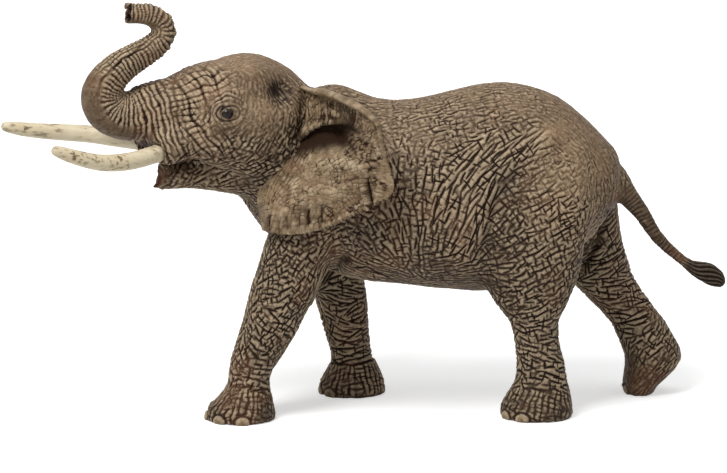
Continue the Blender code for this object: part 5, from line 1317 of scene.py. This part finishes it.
def makeTusk(label, node):
    piece = copyOfNode(node, label)
    inEditMode(piece, bpy.ops.mesh.tris_convert_to_quads)
    addModifier(piece, "rounder", "SUBSURF", levels=2, render_levels=2)
    applyAll(piece)
    bpy.ops.object.shade_smooth()
    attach(piece, "root")
    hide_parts(node)
    return piece


def makeEye(label, node, place, outward):
    deselectAll()
    bpy.ops.mesh.primitive_uv_sphere_add(segments=48, ring_count=32, radius=eyeball["radius"] * millimetre)
    piece = bpy.context.object
    piece.name = label
    spots = readPlaces(piece)
    facing = spots @ np.array(outward) / eyeball["radius"]
    spots += np.array(outward) * (eyeball["bulge"] * smoothStep(0.80, 0.95, facing))[:, None]
    writePlaces(piece, spots + np.array(place))
    writeValues(piece, "iris", np.clip(facing, 0, 1))
    bpy.ops.object.shade_smooth()
    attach(piece, "root")
    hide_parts(node)
    return piece


tusks = [makeTusk("leftTusk", "left_tusk"), makeTusk("rightTusk", "right_tusk")]
eyes = [makeEye("leftEye", "left_eye", eyeball["left"], -headRight),
        makeEye("rightEye", "right_eye", eyeball["right"], headRight)]
print("tusks and eyes made")

# Paint

# The wash also paints shade in the hollows, the brush also paints highlights, the tuft colour also paints the shade
# of the ear pockets, and dark to pale also spans painted shade and light.
paint = {
    "dark": (0.195, 0.137, 0.093),
    "pale": (0.58, 0.485, 0.38),
    "wash": (0.10, 0.054, 0.028),
    "earWash": (0.16, 0.095, 0.05),
    "earPale": (0.56, 0.475, 0.37),
    "brush": (0.77, 0.69, 0.575),
    "rust": (0.42, 0.25, 0.16),
    "tuft": (0.075, 0.05, 0.034),
    "nail": (0.55, 0.48, 0.37),
    "crestShare": 0.75,           # of the dry brush
    "rustShare": 0.35,
    "crackShare": 0.35,
    "crackSize": 1000,            # plates per metre
    "earCrackShare": 0.1,
    "earCrackSize": 1300,
    "poreSize": 1500,
    "bumpHeight": 0.00012,
}


def linear(colour):
    return [value / 12.92 if value <= 0.04045 else ((value + 0.055) / 1.055) ** 2.4 for value in colour] + [1]


def addNode(tree, kind, inputs=None, **settings):
    # a node with its settings; sockets among the inputs are linked, all else is set
    node = tree.nodes.new("ShaderNode" + kind)
    for name, value in settings.items():
        setattr(node, name, value)
    connect(tree, node, inputs or {})
    return node


def connect(tree, node, inputs):
    for name, value in inputs.items():
        if isinstance(value, bpy.types.NodeSocket):
            tree.links.new(value, node.inputs[name])
        else:
            node.inputs[name].default_value = value


def noise(tree, where, scale, detail):
    return addNode(tree, "TexNoise", {"Vector": where, "Scale": scale, "Detail": detail})


def calculate(tree, operation, *values):
    return addNode(tree, "Math", dict(enumerate(values)), operation=operation).outputs[0]


def mapped(tree, value, fromRange=(0, 1), toRange=(0, 1), **settings):
    return addNode(tree, "MapRange", {"Value": value, "From Min": fromRange[0], "From Max": fromRange[1],
                                      "To Min": toRange[0], "To Max": toRange[1]}, **settings).outputs[0]


def mixed(tree, share, first, second, kind="MIX"):
    inputs = {"Factor": share, "A": first, "B": second}
    return addNode(tree, "Mix", inputs, data_type="RGBA", blend_type=kind).outputs["Result"]


def ramp(tree, value, *stops):
    # the first two stops take the places of the ramp's own
    node = addNode(tree, "ValToRGB", {"Fac": value})
    for index, (position, colour) in enumerate(stops):
        elements = node.color_ramp.elements
        element = elements[index] if index < 2 else elements.new(position)
        element.position = position
        element.color = colour
    return node.outputs["Color"]


def pointValue(tree, name):
    return addNode(tree, "Attribute", attribute_type="GEOMETRY", attribute_name=name).outputs["Fac"]


def newMaterial(name):
    material = bpy.data.materials.new(name)
    material.use_nodes = True
    tree = material.node_tree
    return material, tree, tree.nodes["Principled BSDF"]


def bumped(tree, height, strength, distance):
    return addNode(tree, "Bump", {"Strength": strength, "Distance": distance, "Height": height}).outputs["Normal"]


def makePaintGroup():
    # wash in the grooves, dry brush on the crests, a little rust, fine cracks and pores; the groove and crest shares
    # also carry painted shade and painted highlights
    group = bpy.data.node_groups.new("handPaint", "ShaderNodeTree")
    for way, kind, names in (("INPUT", "Color", ("Base", "Wash", "Brush", "Rust")),
                             ("INPUT", "Float", ("Groove", "Crest", "Rust Share", "Crack Share", "Crack Size")),
                             ("OUTPUT", "Color", ("Color",)), ("OUTPUT", "Float", ("Height", "Roughness"))):
        for name in names:
            group.interface.new_socket(name=name, in_out=way, socket_type="NodeSocket" + kind)
    given = group.nodes.new("NodeGroupInput").outputs
    result = group.nodes.new("NodeGroupOutput")
    where = addNode(group, "TexCoord").outputs["Object"]

    # cracks between small plates, broken up
    warp = noise(group, where, 420, 2).outputs["Color"]
    bend = addNode(group, "VectorMath", {0: warp, 1: (0.0011, 0.0011, 0.0011), 2: where}, operation="MULTIPLY_ADD")
    plates = addNode(group, "TexVoronoi", feature="DISTANCE_TO_EDGE")
    connect(group, plates, {"Vector": bend.outputs[0], "Scale": given["Crack Size"]})
    line = mapped(group, plates.outputs["Distance"], (0.02, 0.16), (1, 0))
    gaps = mapped(group, noise(group, where, 260, 2).outputs["Fac"], (0.38, 0.58))
    shown = calculate(group, "MULTIPLY", calculate(group, "MULTIPLY", line, gaps), given["Crack Share"])
    pores = noise(group, where, paint["poreSize"], 3).outputs["Fac"]

    rusty = mixed(group, given["Rust Share"], given["Base"], given["Rust"])
    brushed = mixed(group, given["Crest"], rusty, given["Brush"])
    tint = ramp(group, pores, (0.3, (0.72, 0.70, 0.68, 1)), (0.7, (1.12, 1.12, 1.12, 1)))
    mottled = mixed(group, 1, brushed, tint, "MULTIPLY")
    sharp = mapped(group, given["Groove"], (0.10, 0.78), interpolation_type="SMOOTHSTEP")
    darkest = calculate(group, "MAXIMUM", sharp, shown)
    connect(group, result, {
        "Color": mixed(group, darkest, mottled, given["Wash"]),
        "Height": calculate(group, "MULTIPLY_ADD", pores, 0.35, calculate(group, "SUBTRACT", 1, shown)),
        "Roughness": mapped(group, darkest, toRange=(0.50, 0.80)),
    })
    return group


def makeSkinPaint(group, name, crackShare, crackSize, pale, wash):
    material, tree, shader = newMaterial(name)
    # tone runs from dark to pale, painted shade and light included; the tuft share also holds painted shade on the
    # ears
    base = mixed(tree, pointValue(tree, "toneAndShade"), linear(paint["dark"]), linear(pale))
    tuftedAndShaded = mixed(tree, pointValue(tree, "tuft"), base, linear(paint["tuft"]))
    work = tree.nodes.new("ShaderNodeGroup")
    work.node_tree = group
    connect(tree, work, {
        "Base": mixed(tree, pointValue(tree, "nail"), tuftedAndShaded, linear(paint["nail"])),
        "Wash": linear(wash), "Brush": linear(paint["brush"]), "Rust": linear(paint["rust"]),
        "Groove": pointValue(tree, "groove"),
        "Crest": calculate(tree, "MULTIPLY", pointValue(tree, "crest"), paint["crestShare"]),
        "Rust Share": calculate(tree, "MULTIPLY", pointValue(tree, "rust"), paint["rustShare"]),
        "Crack Share": crackShare, "Crack Size": crackSize,
    })
    connect(tree, shader, {
        "Base Color": work.outputs["Color"], "Roughness": work.outputs["Roughness"], "Specular IOR Level": 0.12,
        "Normal": bumped(tree, work.outputs["Height"], 0.6, paint["bumpHeight"]),
    })
    return material


def makeIvory():
    # grain along the tusk, and stains in patches
    material, tree, shader = newMaterial("ivoryPaint")
    where = addNode(tree, "TexCoord").outputs["Object"]
    stretched = addNode(tree, "Mapping", {"Scale": (0.30, 1, 1), "Vector": where}).outputs[0]
    grain = noise(tree, stretched, tusk["grain"], 4).outputs["Fac"]
    patches = noise(tree, where, tusk["patches"], 2).outputs["Fac"]
    share = calculate(tree, "MULTIPLY", mapped(tree, grain, (0.51, 0.60)),
                 mapped(tree, patches, (0.40, 0.62), (0.12, 0.95)))
    aged = mixed(tree, patches, linear(tusk["ivory"]), linear(tusk["aged"]))
    connect(tree, shader, {
        "Base Color": mixed(tree, share, aged, linear(tusk["stain"])),
        "Roughness": mapped(tree, grain, toRange=(0.36, 0.62)),
        "Normal": bumped(tree, grain, 0.5, 0.0001),
    })
    return material


def makeEyePaint():
    material, tree, shader = newMaterial("eyeGloss")
    where = addNode(tree, "TexCoord").outputs["Object"]
    grain = noise(tree, where, eyeball["grain"], 3).outputs["Fac"]
    fleck = calculate(tree, "MULTIPLY_ADD", grain, 0.06, pointValue(tree, "iris"))
    rim, iris, pupil = [linear(eyeball[name]) for name in ("rim", "iris", "pupil")]
    connect(tree, shader, {
        "Base Color": ramp(tree, fleck, (0.70, rim), (0.99, pupil), (0.80, iris), (0.94, iris)),
        "Specular IOR Level": 0.22,
        "Roughness": mapped(tree, grain, toRange=(0.06, 0.22)),
        "Normal": bumped(tree, grain, 0.1, 0.00005),
    })
    return material


def paintPieces(items, material):
    for piece in items:
        piece.data.materials.clear()
        piece.data.materials.append(material)


paintGroup = makePaintGroup()
paintPieces(pieces.values(), makeSkinPaint(paintGroup, "hidePaint", paint["crackShare"], paint["crackSize"],
                                           paint["pale"], paint["wash"]))
paintPieces(ears.values(), makeSkinPaint(paintGroup, "earPaint", paint["earCrackShare"], paint["earCrackSize"],
                                         paint["earPale"], paint["earWash"]))
paintPieces(tusks, makeIvory())
paintPieces(eyes, makeEyePaint())
print("paint done")

# Stage, lights and camera

studio = {
    "floor": (0.80, 0.80, 0.80, 1),
    "white": (1, 1, 1, 1),
    "glow": (0.52, 0.95),         # of the floor under the figure and far from it
    "glowFrom": (0.14, 0.70),     # metres from the middle
    "daylight": 0.17,             # of the background on the pieces
    "lights": {                   # place, size, power
        "keyLight": ((-330, -460, 800), 360, 7.0),
        "topLight": ((120, 60, 900), 800, 2.6),
        "fillLight": ((700, -500, 260), 600, 0.8),
    },
    "lightTarget": (0, 0, 50),
}


def seenRays(tree):
    # 1 for the rays that show the background itself, 0 for the rays that light the pieces
    ray = addNode(tree, "LightPath").outputs
    shown = ray["Is Camera Ray"]
    for kind in ("Is Glossy Ray", "Is Transmission Ray"):
        shown = calculate(tree, "MAXIMUM", shown, ray[kind])
    return shown


def makeStage():
    bpy.ops.mesh.primitive_plane_add(size=6, location=(0, 0, 0))
    floor = bpy.context.object
    floor.name = "floor"
    material, tree, shader = newMaterial("paleFloor")
    connect(tree, shader, {"Base Color": studio["floor"], "Roughness": 0.9, "Specular IOR Level": 0.1})
    where = addNode(tree, "TexCoord").outputs["Object"]
    far = addNode(tree, "VectorMath", {0: where}, operation="LENGTH").outputs["Value"]
    share = calculate(tree, "MULTIPLY", seenRays(tree), mapped(tree, far, studio["glowFrom"], studio["glow"]))
    glow = addNode(tree, "Emission", {"Color": studio["white"], "Strength": share})
    both = addNode(tree, "AddShader", {0: shader.outputs[0], 1: glow.outputs[0]})
    connect(tree, tree.nodes["Material Output"], {0: both.outputs[0]})
    floor.data.materials.append(material)

    world = bpy.data.worlds.new("studio")
    bpy.context.scene.world = world
    world.use_nodes = True
    tree = world.node_tree
    strength = mapped(tree, seenRays(tree), toRange=(studio["daylight"], 1.0))
    connect(tree, tree.nodes["Background"], {"Color": studio["white"], "Strength": strength})


def makeLight(name, place, size, power):
    bpy.ops.object.light_add(type="AREA", location=[value * millimetre for value in place])
    lamp = bpy.context.object
    lamp.name = name
    lamp.data.size = size * millimetre
    lamp.data.energy = power
    way = Vector(studio["lightTarget"]) - Vector(place)
    lamp.rotation_euler = way.to_track_quat("-Z", "Y").to_euler()


def makeCamera():
    lean = math.radians(picture["elevation"])
    way = Vector((0, math.cos(lean), -math.sin(lean)))
    bpy.ops.object.camera_add(location=(Vector(picture["target"]) - way * picture["distance"]) * millimetre)
    camera = bpy.context.object
    camera.rotation_euler = way.to_track_quat("-Z", "Y").to_euler()
    camera.data.sensor_width = 36
    camera.data.lens = 36 * picture["focal"] / picture["width"]
    bpy.context.scene.camera = camera


makeStage()
for name, (place, size, power) in studio["lights"].items():
    makeLight(name, place, size, power)
makeCamera()
bpy.context.scene.view_settings.view_transform = "Standard"
print("stage set")
